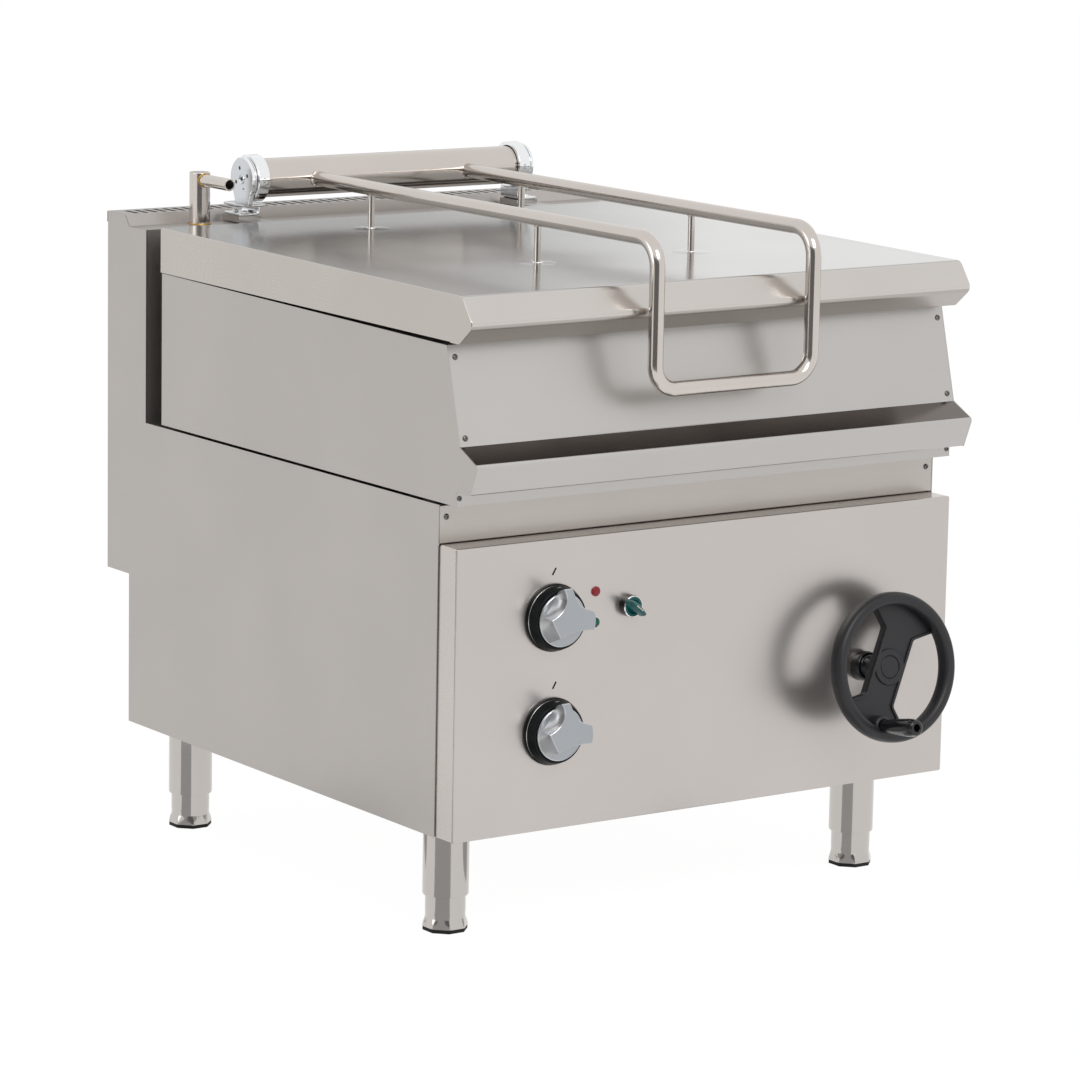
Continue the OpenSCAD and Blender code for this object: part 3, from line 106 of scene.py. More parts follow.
def bump(n, k, b, src, strength, depth=0.0002, under=None):
    u = n.new("ShaderNodeBump")
    u.inputs["Strength"].default_value = strength
    u.inputs["Distance"].default_value = depth
    k.new(src, u.inputs["Height"])
    if under:
        k.new(under, u.inputs["Normal"])
    k.new(u.outputs["Normal"], b.inputs["Normal"])
    return u.outputs["Normal"]


def lin(*rgb):
    """Linear values of an 8-bit colour."""
    return tuple(c / 255 / 12.92 if c / 255 <= 0.04045 else ((c / 255 + 0.055) / 1.055) ** 2.4 for c in rgb)


def steel(name, rgb, rough, along="X", grain=0.05, metal=0.9, spread=0.02, cloud=0.025, wave=0.0):
    """Brushed or polished sheet: fine streaks along one direction, a soft cloudiness and uneven gloss.
    wave is the height in metres of the slow waves of a thin sheet."""
    m, n, k, b = new_mat(name)
    stretch = {"X": (1.2, 260, 260), "Y": (260, 1.2, 260), "Z": (260, 260, 1.2), "none": (90, 90, 90)}[along]
    streak = noise(n, k, 5.0, stretch, 4.0)
    soft = noise(n, k, 5.5, (1, 1, 1), 2.0)
    c = lin(*rgb)
    dark = tuple(v * (1 - cloud) for v in c)
    light = tuple(min(1, v * (1 + cloud)) for v in c)
    k.new(tint(n, k, soft, dark, light), b.inputs["Base Color"])
    add = n.new("ShaderNodeMath")
    add.operation = "ADD"
    k.new(span(n, k, streak, rough - spread, rough + spread), add.inputs[0])
    k.new(span(n, k, soft, -spread * 0.6, spread * 0.6), add.inputs[1])
    k.new(add.outputs[0], b.inputs["Roughness"])
    b.inputs["Metallic"].default_value = metal
    slow = bump(n, k, b, noise(n, k, 3.2, (1, 1, 1), 1.0), 1.0, wave) if wave else None
    if grain:
        bump(n, k, b, streak, grain, 0.00012, slow)
    return m


def plastic(name, rgb, rough, grain=0.15, scale=900, specular=0.5, coat=0.0, wear=0.12):
    m, n, k, b = new_mat(name)
    fine = noise(n, k, scale, (1, 1, 1), 2.0)
    soft = noise(n, k, 14, (1, 1, 1), 3.0)
    c = lin(*rgb)
    dark = tuple(v * (1 - wear) for v in c)
    light = tuple(v * (1 + wear) for v in c)
    k.new(tint(n, k, soft, dark, light), b.inputs["Base Color"])
    k.new(span(n, k, soft, rough - 0.05, rough + 0.05), b.inputs["Roughness"])
    b.inputs["Specular IOR Level"].default_value = specular
    b.inputs["Coat Weight"].default_value = coat
    bump(n, k, b, fine, grain, 0.0001)
    return m


M = {
    # side_steel is a darker copy of front_steel: painted shade on the side panels
    "side_steel": steel("side_steel", (180, 175, 171), 0.34, "Y"),
    "front_steel": steel("front_steel", (197, 191, 186), 0.27, "X"),
    "inner_steel": steel("inner_steel", (186, 183, 179), 0.33, "X"),
    "lid_steel": steel("lid_steel", (205, 202, 199), 0.13, "Y", 0.03, 0.95, 0.03),
    "tube_steel": steel("tube_steel", (203, 196, 190), 0.15, "Y", 0.03, 0.97),
    "foot_steel": steel("foot_steel", (192, 187, 183), 0.12, "Z", 0.02, 0.97, 0.02),
    "frame_steel": steel("frame_steel", (150, 148, 146), 0.42, "none", 0.2),
    "bright_chrome": steel("bright_chrome", (236, 237, 238), 0.07, "none", 0.02, 1.0, 0.02, 0.02),
    "machined_steel": steel("machined_steel", (160, 161, 164), 0.3, "none", 0.15, 0.95),
    "cast_boxes": plastic("cast_boxes", (98, 102, 105), 0.5, 0.5, 220),
    "copper_pipe": steel("copper_pipe", (196, 124, 82), 0.3, "none", 0.08, 1.0),
    "valve_brass": steel("valve_brass", (200, 172, 104), 0.32, "none", 0.1, 0.9),
    "black_plastic": plastic("black_plastic", (38, 38, 41), 0.4, 0.25, 700),
    "silver_caps": steel("silver_caps", (166, 169, 173), 0.34, "X", 0.04, 0.9, 0.02),
    "grey_plastic": plastic("grey_plastic", (205, 203, 198), 0.45),
    "red_lens": plastic("red_lens", (148, 34, 40), 0.25, 0.05, 400, 0.4, 0.2),
    "green_lens": plastic("green_lens", (20, 92, 74), 0.25, 0.05, 400, 0.4, 0.2),
    "teal_plastic": plastic("teal_plastic", (6, 92, 90), 0.25, 0.05, 400, 0.35, 0.1),
    "black_rubber": plastic("black_rubber", (28, 28, 30), 0.7, 0.6, 500, 0.3),
}
slot_of = {s["node"]: s["material_slot"] for s in frame["record"]["subparts"]}
for node, obj in frame["nodes"].items():
    obj.data.materials.clear()
    obj.data.materials.append(M[slot_of[node]])

# finishes of single pieces, and on some of them tones that are painted light and shade
chrome = M["bright_chrome"]
# the lid's top, sides and underside are darker copies of its steel than its front: painted shade
shaded_polish = steel("polished_top_shaded", (172, 171, 169), 0.16, "Y", 0.02, 0.97, 0.015, 0.02, 0.004)
lid_front = steel("lid_front_steel", (202, 197, 192), 0.2, "X", 0.04, 0.93)
lid_side_shaded = steel("lid_side_steel", (190, 184, 178), 0.26, "Y", 0.08, 0.93)
lid_under_shaded = steel("lid_under_steel", (178, 172, 167), 0.3, "X", 0.08, 0.93)
rail_steel = steel("rail_steel", (188, 182, 177), 0.3, "X")
tray_steel = steel("fascia_steel", (197, 191, 187), 0.3, "X", 0.02, 0.9, 0.012, 0.015)
pan_steel = steel("pan_front_steel", (190, 187, 184), 0.33, "Z", 0.02, 0.9, 0.012, 0.015)
# a much darker steel on the lip's top: painted dark reflection of the lid's shaded underside
groove_painted_reflection = steel("groove_painted_reflection", (112, 105, 101), 0.16, "X", 0.02, 0.95, 0.02, 0.05)
# dark steel for chrome screws: painted dark reflection
screw_dark_reflection = steel("screw_dark_reflection", (118, 115, 113), 0.22, "none", 0.1, 0.95)
# dark steel for a chrome barrel: painted dark reflection
barrel_dark_reflection = steel("barrel_dark_reflection", (66, 63, 64), 0.14, "none", 0.03, 0.95, 0.03)
skirt_black = plastic("skirt_black", (12, 16, 17), 0.36, 0.05, 500, 0.16)
wheel_black = plastic("wheel_black", (37, 37, 40), 0.38, 0.2, 650, 0.4)
grip_black = plastic("grip_black", (17, 17, 20), 0.14, 0.02, 300, 0.4, 0.25)
ink = plastic("mark_ink", (14, 8, 8), 0.6, specular=0.1)
# lighter silver on the caps' flanks and rims than on their faces: painted highlight
cap_flank_highlight = steel("cap_flank_silver", (194, 196, 198), 0.3, "X", 0.04, 0.9, 0.02)
hub_face = steel("hub_face_chrome", (204, 207, 211), 0.16, "none", 0.05, 1.0, 0.03, 0.06)
# black inside holes, bores, splits and joints: painted shade
painted_shade_black = plastic("painted_shade_black", (12, 12, 13), 0.6)
heat_tint = steel("heat_tint", (196, 158, 84), 0.28, "none", 0.15, 0.9)


# shapes
def rounded(pts, r, n=4, closed=False):
    """Rounds the corners of a path of 2-D points. r is one radius, or one for each point."""
    out, m = [], len(pts)
    for i, p in enumerate(pts):
        p = Vector(p)
        ri = r[i] if isinstance(r, (list, tuple)) else r
        if ri <= 0 or (not closed and i in (0, m - 1)):
            out.append(tuple(p))
            continue
        a, c = Vector(pts[i - 1]), Vector(pts[(i + 1) % m])
        u, w = (a - p), (c - p)
        lu, lw = u.length, w.length
        u, w = u / lu, w / lw
        ang = math.acos(max(-1, min(1, u.dot(w))))
        if abs(math.pi - ang) < 0.03 or ang < 0.02:
            out.append(tuple(p))
            continue
        d = min(ri / math.tan(ang / 2), lu * 0.45, lw * 0.45)
        ri = d * math.tan(ang / 2)
        mid = (u + w).normalized()
        ctr = p + mid * (ri / math.sin(ang / 2))
        s, e = p + u * d - ctr, p + w * d - ctr
        sweep = math.atan2(s.x * e.y - s.y * e.x, s.dot(e))
        for j in range(n + 1):
            t = sweep * j / n
            out.append((ctr.x + s.x * math.cos(t) - s.y * math.sin(t),
                        ctr.y + s.x * math.sin(t) + s.y * math.cos(t)))
    return out


def offset(pts, t, closed=False):
    """Moves a path sideways, to the left of its direction for t above zero."""
    m, out = len(pts), []
    for i, p in enumerate(pts):
        p = Vector(p)
        a = Vector(pts[i - 1]) if (closed or i > 0) else None
        c = Vector(pts[(i + 1) % m]) if (closed or i < m - 1) else None
        d1 = (p - a).normalized() if a is not None else (c - p).normalized()
        d2 = (c - p).normalized() if c is not None else d1
        n1, n2 = Vector((-d1.y, d1.x)), Vector((-d2.y, d2.x))
        s = n1 + n2
        s = s / max(0.25, s.dot(n1)) if s.length > 1e-6 else n1
        out.append((p.x + s.x * t, p.y + s.y * t))
    return out


def arc(cx, cy, r, a0, a1, n):
    return [(cx + r * math.cos(math.radians(a0 + (a1 - a0) * i / n)),
             cy + r * math.sin(math.radians(a0 + (a1 - a0) * i / n))) for i in range(n + 1)]


def outline_area(outline):
    """Twice the area, above zero where the outline runs anticlockwise."""
    return sum(p[0] * q[1] - q[0] * p[1] for p, q in zip(outline, outline[1:] + outline[:1]))


def place(me):
    ob = bpy.data.objects.new(me.name, me)
    bpy.context.scene.collection.objects.link(ob)
    return ob


def paint(ob, rules):
    """Gives each face the material of the first rule that picks it."""
    for mat, _ in rules:
        ob.data.materials.append(mat)
    for f in ob.data.polygons:
        for i, (_, picks) in enumerate(rules):
            if picks(f):
                f.material_index = i + 1
                break


class Piece:
    """Builds one mesh in machine millimetres, through a local place that can be changed between parts."""

    def __init__(self):
        self.bm = bmesh.new()
        self.m = Matrix.Identity(4)

    def at(self, origin, z=Z, x=X):
        z = Vector(z).normalized()
        x = Vector(x)
        x = (x - z * x.dot(z)).normalized()
        y = z.cross(x)
        self.m = Matrix(((x.x, y.x, z.x, origin[0]), (x.y, y.y, z.y, origin[1]), (x.z, y.z, z.z, origin[2]),
                         (0, 0, 0, 1)))
        return self

    def ring(self, pts):
        return [self.bm.verts.new(self.m @ Vector(p)) for p in pts]

    def face(self, vs):
        try:
            return self.bm.faces.new(vs)
        except ValueError:
            return None

    def skin(self, rings, loop=True, wrap=False):
        for a, b in zip(rings, rings[1:] + ([rings[0]] if wrap else [])):
            c = len(a)
            for i in range(c if loop else c - 1):
                j = (i + 1) % c
                self.face((a[i], a[j], b[j], b[i]))

    def lathe(self, prof, seg=72, a0=0, a1=360):
        """prof: (radius, height) pairs from one end to the other; a radius of zero closes that end."""
        full = abs(a1 - a0) >= 360
        cnt = seg if full else seg + 1
        rings = []
        for r, h in prof:
            if r <= 1e-6:
                v = self.bm.verts.new(self.m @ Vector((0, 0, h)))
                rings.append([v] * cnt)
            else:
                rings.append(self.ring([(x, y, h) for x, y in arc(0, 0, r, a0, a1, seg)[:cnt]]))
        for a, b in zip(rings, rings[1:]):
            for i in range(cnt if full else cnt - 1):
                j = (i + 1) % cnt
                vs = []
                for v in (a[i], a[j], b[j], b[i]):
                    if v not in vs:
                        vs.append(v)
                if len(vs) > 2:
                    self.face(vs)
        return rings

    def prism(self, outline, z0, z1, e0=0.0, e1=0.0, n=3, bottom=True):
        """An outline drawn upwards, with its lower and upper edges rounded by e0 and e1."""
        steps = []
        for i in range(n + 1 if e0 else 1):
            a = math.pi / 2 * i / n if e0 else math.pi / 2
            steps.append((e0 * (1 - math.sin(a)), z0 + e0 * (1 - math.cos(a))) if e0 else (0, z0))
        for i in range(n + 1 if e1 else 1):
            a = math.pi / 2 * i / n if e1 else 0
            steps.append((e1 * (1 - math.cos(a)), z1 - e1 * (1 - math.sin(a))) if e1 else (0, z1))
        way = 1 if outline_area(outline) > 0 else -1
        rings = []
        for d, h in steps:
            pts = offset(outline, d * way, True) if d > 1e-9 else outline
            rings.append(self.ring([(p[0], p[1], h) for p in pts]))
        self.skin(rings)
        if bottom:
            self.face(rings[0][::-1])
        self.face(rings[-1])
        return rings

    def sheet(self, path, x0, x1, t):
        """A folded sheet: a Y-Z path and its copy moved by t, drawn across from x0 to x1."""
        inner = offset(path, t)
        loop = list(path) + inner[::-1]
        self.m = Matrix.Identity(4)
        a = self.ring([(x0, p[0], p[1]) for p in loop])
        b = self.ring([(x1, p[0], p[1]) for p in loop])
        self.skin([a, b])
        c = len(path)
        for r in (a, b):
            for i in range(c - 1):
                self.face((r[i], r[i + 1], r[2 * c - 2 - i], r[2 * c - 1 - i]))

    def torus(self, R, r, seg=64, sub=12, wob=0.0, flat=1.0):
        """A ring bead around the local z axis; wob makes it uneven, as a weld is."""
        rings = []
        for i in range(seg):
            a = 2 * math.pi * i / seg
            k = r * (1 + wob * math.sin(i * 2.4) * math.cos(i * 0.9))
            turns = [2 * math.pi * j / sub for j in range(sub)]
            rings.append(self.ring([((R + k * math.cos(b)) * math.cos(a), (R + k * math.cos(b)) * math.sin(a),
                                     k * flat * math.sin(b)) for b in turns]))
        self.skin(rings, wrap=True)

    def box(self, lo, hi, e=0.0, n=2):
        """A rounded block."""
        w, d = hi[0] - lo[0], hi[1] - lo[1]
        o = [(lo[0], lo[1]), (hi[0], lo[1]), (hi[0], hi[1]), (lo[0], hi[1])]
        if e:
            o = rounded(o, min(e, w * 0.45, d * 0.45), n + 1, True)
        e = min(e, (hi[2] - lo[2]) * 0.45)
        self.prism(o, lo[2], hi[2], e, e, n)

    def screw(self, r, h):
        """A domed screw head with a cross recess, standing on the local z = 0 plane."""
        seg = 24
        dome = [(0.96, 0), (1, 0.18), (0.97, 0.42), (0.84, 0.74), (0.66, 0.93)]
        rings = [self.ring([(x, y, h * z) for x, y in arc(0, 0, r * q, 0, 360, seg)[:seg]]) for q, z in dome]
        self.skin(rings)
        a, c = r * 0.52, r * 0.15
        cross = [(a, -c), (a, c), (c, c), (c, a), (-c, a), (-c, c),
                 (-a, c), (-a, -c), (-c, -c), (-c, -a), (c, -a), (c, -c)]
        top = self.ring([(p[0], p[1], h) for p in cross])
        low = self.ring([(p[0] * 0.8, p[1] * 0.8, h * 0.35) for p in cross])
        self.skin([top, low])
        self.face(low)
        edges = []
        for loop in (rings[-1], top):
            for i in range(len(loop)):
                e = self.bm.edges.get((loop[i], loop[(i + 1) % len(loop)]))
                if e:
                    edges.append(e)
        bmesh.ops.triangle_fill(self.bm, edges=edges, use_beauty=True)

    def mesh(self, name):
        """Ends the building and gives the mesh in the shared frame."""
        for v in self.bm.verts:
            v.co = P(*v.co)
        me = bpy.data.meshes.new(name)
        self.bm.to_mesh(me)
        self.bm.free()
        return me

    def done(self, name, mat, body, slot, *nodes, angle=32, weight=True):
        """Makes the piece: its body, and the CAD nodes that it stands for. slot, its material slot, is not
        used.
        """
        bmesh.ops.remove_doubles(self.bm, verts=self.bm.verts, dist=1e-4)
        bmesh.ops.recalc_face_normals(self.bm, faces=self.bm.faces)
        me = self.mesh(name)
        me.shade_smooth()
        me.set_sharp_from_angle(angle=math.radians(angle))
        me.materials.append(mat)
        ob = place(me)
        if weight:
            w = ob.modifiers.new("normals", "WEIGHTED_NORMAL")
            w.keep_sharp = True
            w.weight = 80
            bpy.context.view_layer.update()
            final = ob.evaluated_get(bpy.context.evaluated_depsgraph_get())
            weighted = bpy.data.meshes.new_from_object(final)
            ob.modifiers.clear()
            ob.data = weighted
            weighted.name = name
        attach(ob, body)
        if nodes:
            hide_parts(*nodes)
        return ob


# control panel: a tray with rolled edges, a front skin and a fine shadow joint behind it
panel = rounded([(-PANEL_HALF, PANEL_LOW), (PANEL_HALF, PANEL_LOW), (PANEL_HALF, PANEL_TOP),
                 (-PANEL_HALF, PANEL_TOP)], 2.6, 4, True)
SKIN_BACK, SKIN_ROLL = 38.8, 1.0
p = Piece().at(ORIGIN, -Y)
front = p.prism(panel, SKIN_BACK, -FACE_Y, 0, SKIN_ROLL, 3, bottom=False)
p.skin([front[0], p.ring([(v[0], v[1], SKIN_BACK) for v in offset(panel, SKIN_ROLL, True)])])
p.done("fascia_skin", tray_steel, "cabinet", "front_steel", "front_panel")
p = Piece().at(ORIGIN, -Y)
rings = []
for inset, h in [(0, 0), (0, 37.0), (0.35, 37.5), (1.2, 37.8), (1.6, 37.8), (1.6, 0)]:
    outline = offset(panel, inset, True) if inset else panel
    rings.append(p.ring([(v[0], v[1], h) for v in outline]))
p.skin(rings, wrap=True)
p.done("fascia_flanges", M["front_steel"], "cabinet", "front_steel")
# the backing seen through the joint is drawn black: painted shade in the joint
p = Piece().at(ORIGIN, -Y)
p.prism(offset(panel, 1.7, True), 37.2, 37.7)
p.done("fascia_backing", painted_shade_black, "cabinet", "inner_steel")

# rail over the tray, with rolled bends
p = Piece()
RAIL_D, RAIL_TOP = 24, 574
rail = [(RAIL_D, PANEL_TOP), (0, PANEL_TOP), (0, RAIL_TOP), (RAIL_D, RAIL_TOP)]
p.sheet(rounded(rail, 2.4, 4), -PANEL_HALF, PANEL_HALF, -SHEET)
p.done("front_rail_sheet", rail_steel, "cabinet", "front_steel", "front_rail")

# pan casing's front: the sloping face down to the fold, the drain groove, the rounded lip and the return
CASING_TOP, CASING_FOLD, CASING_LOW, CASING_HALF = (-10, 777), (-42, 653), 577, 396.5
LIP_R, LIP_FRONT, LIP_UP = 6, -80, 54
RETURN_Y, RETURN_Z = -36, 595
GROOVE_Y = (-71.5, -42)
lip = arc(LIP_FRONT + LIP_R, CASING_LOW + LIP_UP, LIP_R, 130, 200, 8)
path = [CASING_TOP, CASING_FOLD] + lip + [(-66, RETURN_Z), (RETURN_Y, RETURN_Z), (RETURN_Y, CASING_LOW)]
radii = [0, 3.0] + [0] * len(lip) + [3.2, 2.2, 0]
p = Piece()
p.sheet(rounded(path, radii, 4), -CASING_HALF, CASING_HALF, SHEET)
casing = p.done("pan_front_sheet", pan_steel, "pan", "front_steel", "pan_front_panel")


def in_groove_reflection(f):
    return f.normal.z > 0.8 and GROOVE_Y[0] < (f.center.y - FRONT) * 1000 < GROOVE_Y[1]


# the top of the lip, between the fold and the nose, gets the painted dark reflection
paint(casing, [(groove_painted_reflection, in_groove_reflection)])

# lid: rounded nose, sloping front, nearly flat top and folded back
LID_LOW, LID_TOP, LID_BACK, LID_HALF = 781, 848, 693, 399.25
BROW_Y, BROW_Z = -33, LID_LOW + 61
nose = arc(11 - 66, LID_LOW + 28, 11, 235, 150, 10)
brow = arc(BROW_Y - 6, BROW_Z - 12, 12, 150, 90, 8)
path = [(-19, LID_LOW), (-38, LID_LOW)] + nose + brow + [(LID_BACK, LID_TOP)]
path = rounded(path, [0, 5.0] + [0] * (len(nose) + len(brow)) + [0], 4)
path = path[:-1] + rounded([path[-2], (LID_BACK, LID_TOP), (LID_BACK, 787)], [0, 3.0, 0], 5)[1:]
# the outline is drawn in a little at both sides, which rolls the side edges
SIDE_ROLL = 1.6
quarter = [(1, 0), (0.62, 0.08), (0.29, 0.29), (0.08, 0.62), (0, 1)]
steps = [(SIDE_ROLL * d, SIDE_ROLL * x - LID_HALF) for d, x in quarter]
steps += [(d, -x) for d, x in steps[::-1]]
p = Piece()
rings = [p.ring([(x, v[0], v[1]) for v in (offset(path, -d) if d else path)]) for d, x in steps]
p.skin(rings, loop=False)
p.face(rings[0])
p.face(rings[-1][::-1])
inner = offset(path, -SIDE_ROLL)
inside = [p.ring([(x, v[0], v[1]) for v in inner]) for x in (SHEET - LID_HALF, LID_HALF - SHEET)]
p.skin(inside, loop=False)
p.face(inside[0][::-1])
p.face(inside[1])
lid = p.done("lid_cover", M["lid_steel"], "lid", "lid_steel", "lid_shell")
# each face of the lid takes its tone from the way it points: painted light and shade on one steel
paint(lid, [(shaded_polish, lambda f: f.normal.z > 0.93),
            (lid_side_shaded, lambda f: abs(f.normal.x) > 0.7),
            (lid_front, lambda f: f.normal.y < -0.3 and f.normal.z > -0.2),
            (lid_under_shaded, lambda f: f.normal.z < -0.2)])

# welded handle: dimples and beads at the posts, and beads where the arms meet the hinge tube
HINGE_Y, HINGE_Z, TUBE_R = 730.0, 904.0, 25.4
ARM_Z, HANDLE_Y, HANDLE_SHIFT, SKEW = 902.0, -81, 3, math.radians(0.8)
POST_X, POST_YS = 126, (179, 571)
LID_SLOPE = (LID_TOP - BROW_Z) / (LID_BACK - BROW_Y)


def hand(x, y, z):
    """A place in the handle's own frame, which stands off the middle and slightly turned."""
    far = y - HANDLE_Y
    return (x * math.cos(SKEW) - far * math.sin(SKEW) - HANDLE_SHIFT,
            x * math.sin(SKEW) + far * math.cos(SKEW) + HANDLE_Y, z)


def lid_top(y):
    return BROW_Z + (LID_TOP - BROW_Z) * (y - BROW_Y) / (LID_BACK - BROW_Y)


p, welds = Piece(), Piece()
for s in (-1, 1):
    for y in POST_YS:
        p.at(hand(s * POST_X, y, lid_top(y) + 0.3))
        p.torus(5.3, 1.7, 48, 10, 0.15, 0.75)
        welds.at(hand(s * POST_X, y, ARM_Z - 9.6))
        welds.torus(4.9, 1.2, 40, 10, 0.2, 0.8)
p.done("post_welds", chrome, "lid", "tube_steel")
p = Piece()
for s in (-1, 1):
    for y in POST_YS:
        p.at(hand(s * POST_X, y, lid_top(y)), Vector((0, -LID_SLOPE, 1)))
        p.lathe([(4.4, 1.1), (9, 0.55), (15, 0.42), (21, 0.34), (25, 0.1), (25.6, -0.1)], 64)
p.done("post_dimples", shaded_polish, "lid", "lid_steel", angle=60)
for s in (-1, 1):
    welds.at(hand(s * POST_X, HINGE_Y - TUBE_R, ARM_Z), Vector((-math.sin(SKEW), math.cos(SKEW), 0)))
    welds.torus(10.6, 1.5, 64, 12, 0.2, 1.0)
welds.done("handle_welds", M["tube_steel"], "lid", "tube_steel")

# hinge: at each end of the tube a spring hub, a split collar and a channel-shaped bracket
TUBE_END = {-1: 240.0, 1: 214.5}
BRACKET_WEB = {-1: 217.0, 1: 223.0}
BRACKET_Y, BRACKET_Z = (736, 779), (851, 868.4)
HUB_R, HUB_W, COLLAR_W = 30, 8.0, 18.5
HUB_HOLE_R, HUB_HOLES_AT = 15.6, (70, 160, 250, 340)


def circle(r, h, count=72, cx=0.0, cy=0.0):
    turn = 2 * math.pi / count
    return [(cx + r * math.cos(turn * i), cy + r * math.sin(turn * i), h) for i in range(count)]


def hinge_hub(p, dark, s):
    """A disc with a groove in its side, four holes, and a ring round the bore in its middle. Black discs in
    the holes and the bore are painted shade.
    """
    at = ((s * (TUBE_END[s] + 0.3), HINGE_Y, HINGE_Z), (s, 0, 0), Y)
    p.at(*at)
    dark.at(*at)
    p.lathe(rounded([(0, 0), (28.9, 0), (29.6, 0.6), (29.6, 2.2), (28.6, 2.6), (28.6, 3.3), (HUB_R, 3.7),
                     (HUB_R, HUB_W - 0.8)], [0, 0.3, 0.3, 0.3, 0.2, 0.2, 0.3, 0], 2))
    outer, rim = p.ring(circle(HUB_R, HUB_W - 0.81)), p.ring(circle(HUB_R - 0.9, HUB_W))
    p.skin([outer, rim])
    loops = [rim]
    for a in HUB_HOLES_AT:
        hx, hy = HUB_HOLE_R * math.cos(math.radians(a * s)), HUB_HOLE_R * math.sin(math.radians(a * s))
        mouth = p.ring(circle(2.7, HUB_W, 20, hx, hy))
        p.skin([mouth, p.ring(circle(2.4, HUB_W - 1.6, 20, hx, hy))])
        loops.append(mouth)
        dark.face(dark.ring(circle(2.5, HUB_W - 1.2, 20, hx, hy)))
    edges = [p.bm.edges.get((loop[i], loop[(i + 1) % len(loop)])) for loop in loops for i in range(len(loop))]
    bmesh.ops.triangle_fill(p.bm, edges=[e for e in edges if e], use_beauty=True)
    p.lathe(rounded([(7.2, HUB_W - 0.1), (7.0, HUB_W + 1.0), (5.6, HUB_W + 1.0), (4.9, HUB_W + 0.1),
                     (3.0, HUB_W + 0.4), (2.8, HUB_W)], [0, 0.4, 0.4, 0.3, 0.2, 0], 3), 48)
    dark.face(dark.ring(circle(2.85, HUB_W + 0.12, 24)))


def hinge_bracket(p, s):
    """Web, bend and foot, the flange and saddle that carry the hub, two screws and the pin into the tube."""
    (y0, y1), (z0, z1), w = BRACKET_Y, BRACKET_Z, BRACKET_WEB[s]
    channel = rounded([(w - 3.8, z1), (w - 3.8, z0 + 0.1), (w + 29.8, z0 + 0.1), (w + 29.8, z0 + 4),
                       (w, z0 + 4), (w, z1)], [0.8, 7.0, 1.5, 1.5, 3.5, 0.8], 6, True)
    p.at(ORIGIN, Y, (s, 0, 0))
    p.prism([(a, -s * b) for a, b in channel], y0, y1, 1.2, 1.2, 3)
    near, far = s * (w - 3.6), s * (TUBE_END[s] + 0.3 + HUB_W)
    p.at(ORIGIN)
    p.box((min(near, far), HINGE_Y - 7, z1 - 3.6), (max(near, far), y1 - 0.4, z1), 1.4, 3)
    saddle = rounded([(HINGE_Y - 15.5, z1 - 3), (HINGE_Y + 16, z1 - 3), (HINGE_Y + 25, HINGE_Z - 14),
                      (HINGE_Y - 24, HINGE_Z - 14)], 3.0, 3, True)
    p.at(ORIGIN, (s, 0, 0), Y)
    p.prism([(a, s * b) for a, b in saddle], TUBE_END[s] + 0.5, TUBE_END[s] + HUB_W, 1.0, 1.0, 3)
    for y in (746, 769):
        p.at((s * (w + 17), y, z0 + 4))
        p.screw(4.2, 2.6)
    p.at((s * (TUBE_END[s] - 20), HINGE_Y, HINGE_Z), (s, 0, 0), Y)
    p.lathe([(0, 0), (10, 0), (10, 21), (0, 21)], 32)


def clamp_collar(p, dark, s):
    """A split collar with its socket screw in the split. The black ring in the joint round the tube, and the
    black in the split and in the screw's socket, are painted shade.
    """
    gap = 0.7
    at = ((s * (TUBE_END[s] - COLLAR_W), HINGE_Y, HINGE_Z), (s, 0, 0), Y)
    p.at(*at)
    dark.at(*at)
    prof = rounded([(28.3, 0.2), (33, 0.2), (33, COLLAR_W - 0.2), (27.1, COLLAR_W - 0.2), (27.1, 1.4),
                    (28.3, 1.4)], [0.2, 1.1, 1.1, 0, 0, 0], 3, True)
    p.lathe(prof + [prof[0]], 80, 180 + gap, 180 + 360 - gap)
    dark.lathe([(27.08, 1.35), (28.25, 1.35)], 72)
    slit = [(27.05, 1.0), (32.3, 1.0), (32.3, COLLAR_W - 1), (27.05, COLLAR_W - 1), (27.05, 1.0)]
    dark.lathe(slit, 4, 180 - gap, 180 + gap)
    at = ((s * (TUBE_END[s] - COLLAR_W / 2), HINGE_Y - 32.6, HINGE_Z), -Y)
    p.at(*at)
    dark.at(*at)
    p.lathe(rounded([(4.6, -1.6), (4.6, 0.2), (3.2, 0.4), (3.0, 0.1), (0, 0.1)], [0, 0.3, 0.2, 0, 0], 3), 32)
    dark.lathe([(0, 0.32), (3.0, 0.32)], 24)


p, dark = Piece(), Piece()
for s in (-1, 1):
    hinge_hub(p, dark, s)
    hinge_bracket(p, s)
hubs = p.done("hinge_hubs", chrome, "pan", "bright_chrome", "hinge_brackets")
paint(hubs, [(hub_face, lambda f: abs(f.normal.x) > 0.9)])
dark.done("hub_hole_shade", painted_shade_black, "pan", "bright_chrome", weight=False)
p, dark = Piece(), Piece()
for s in (-1, 1):
    clamp_collar(p, dark, s)
p.done("clamp_collars", chrome, "lid", "bright_chrome", "tube_collars")
dark.done("collar_gap_shade", painted_shade_black, "lid", "bright_chrome", weight=False)

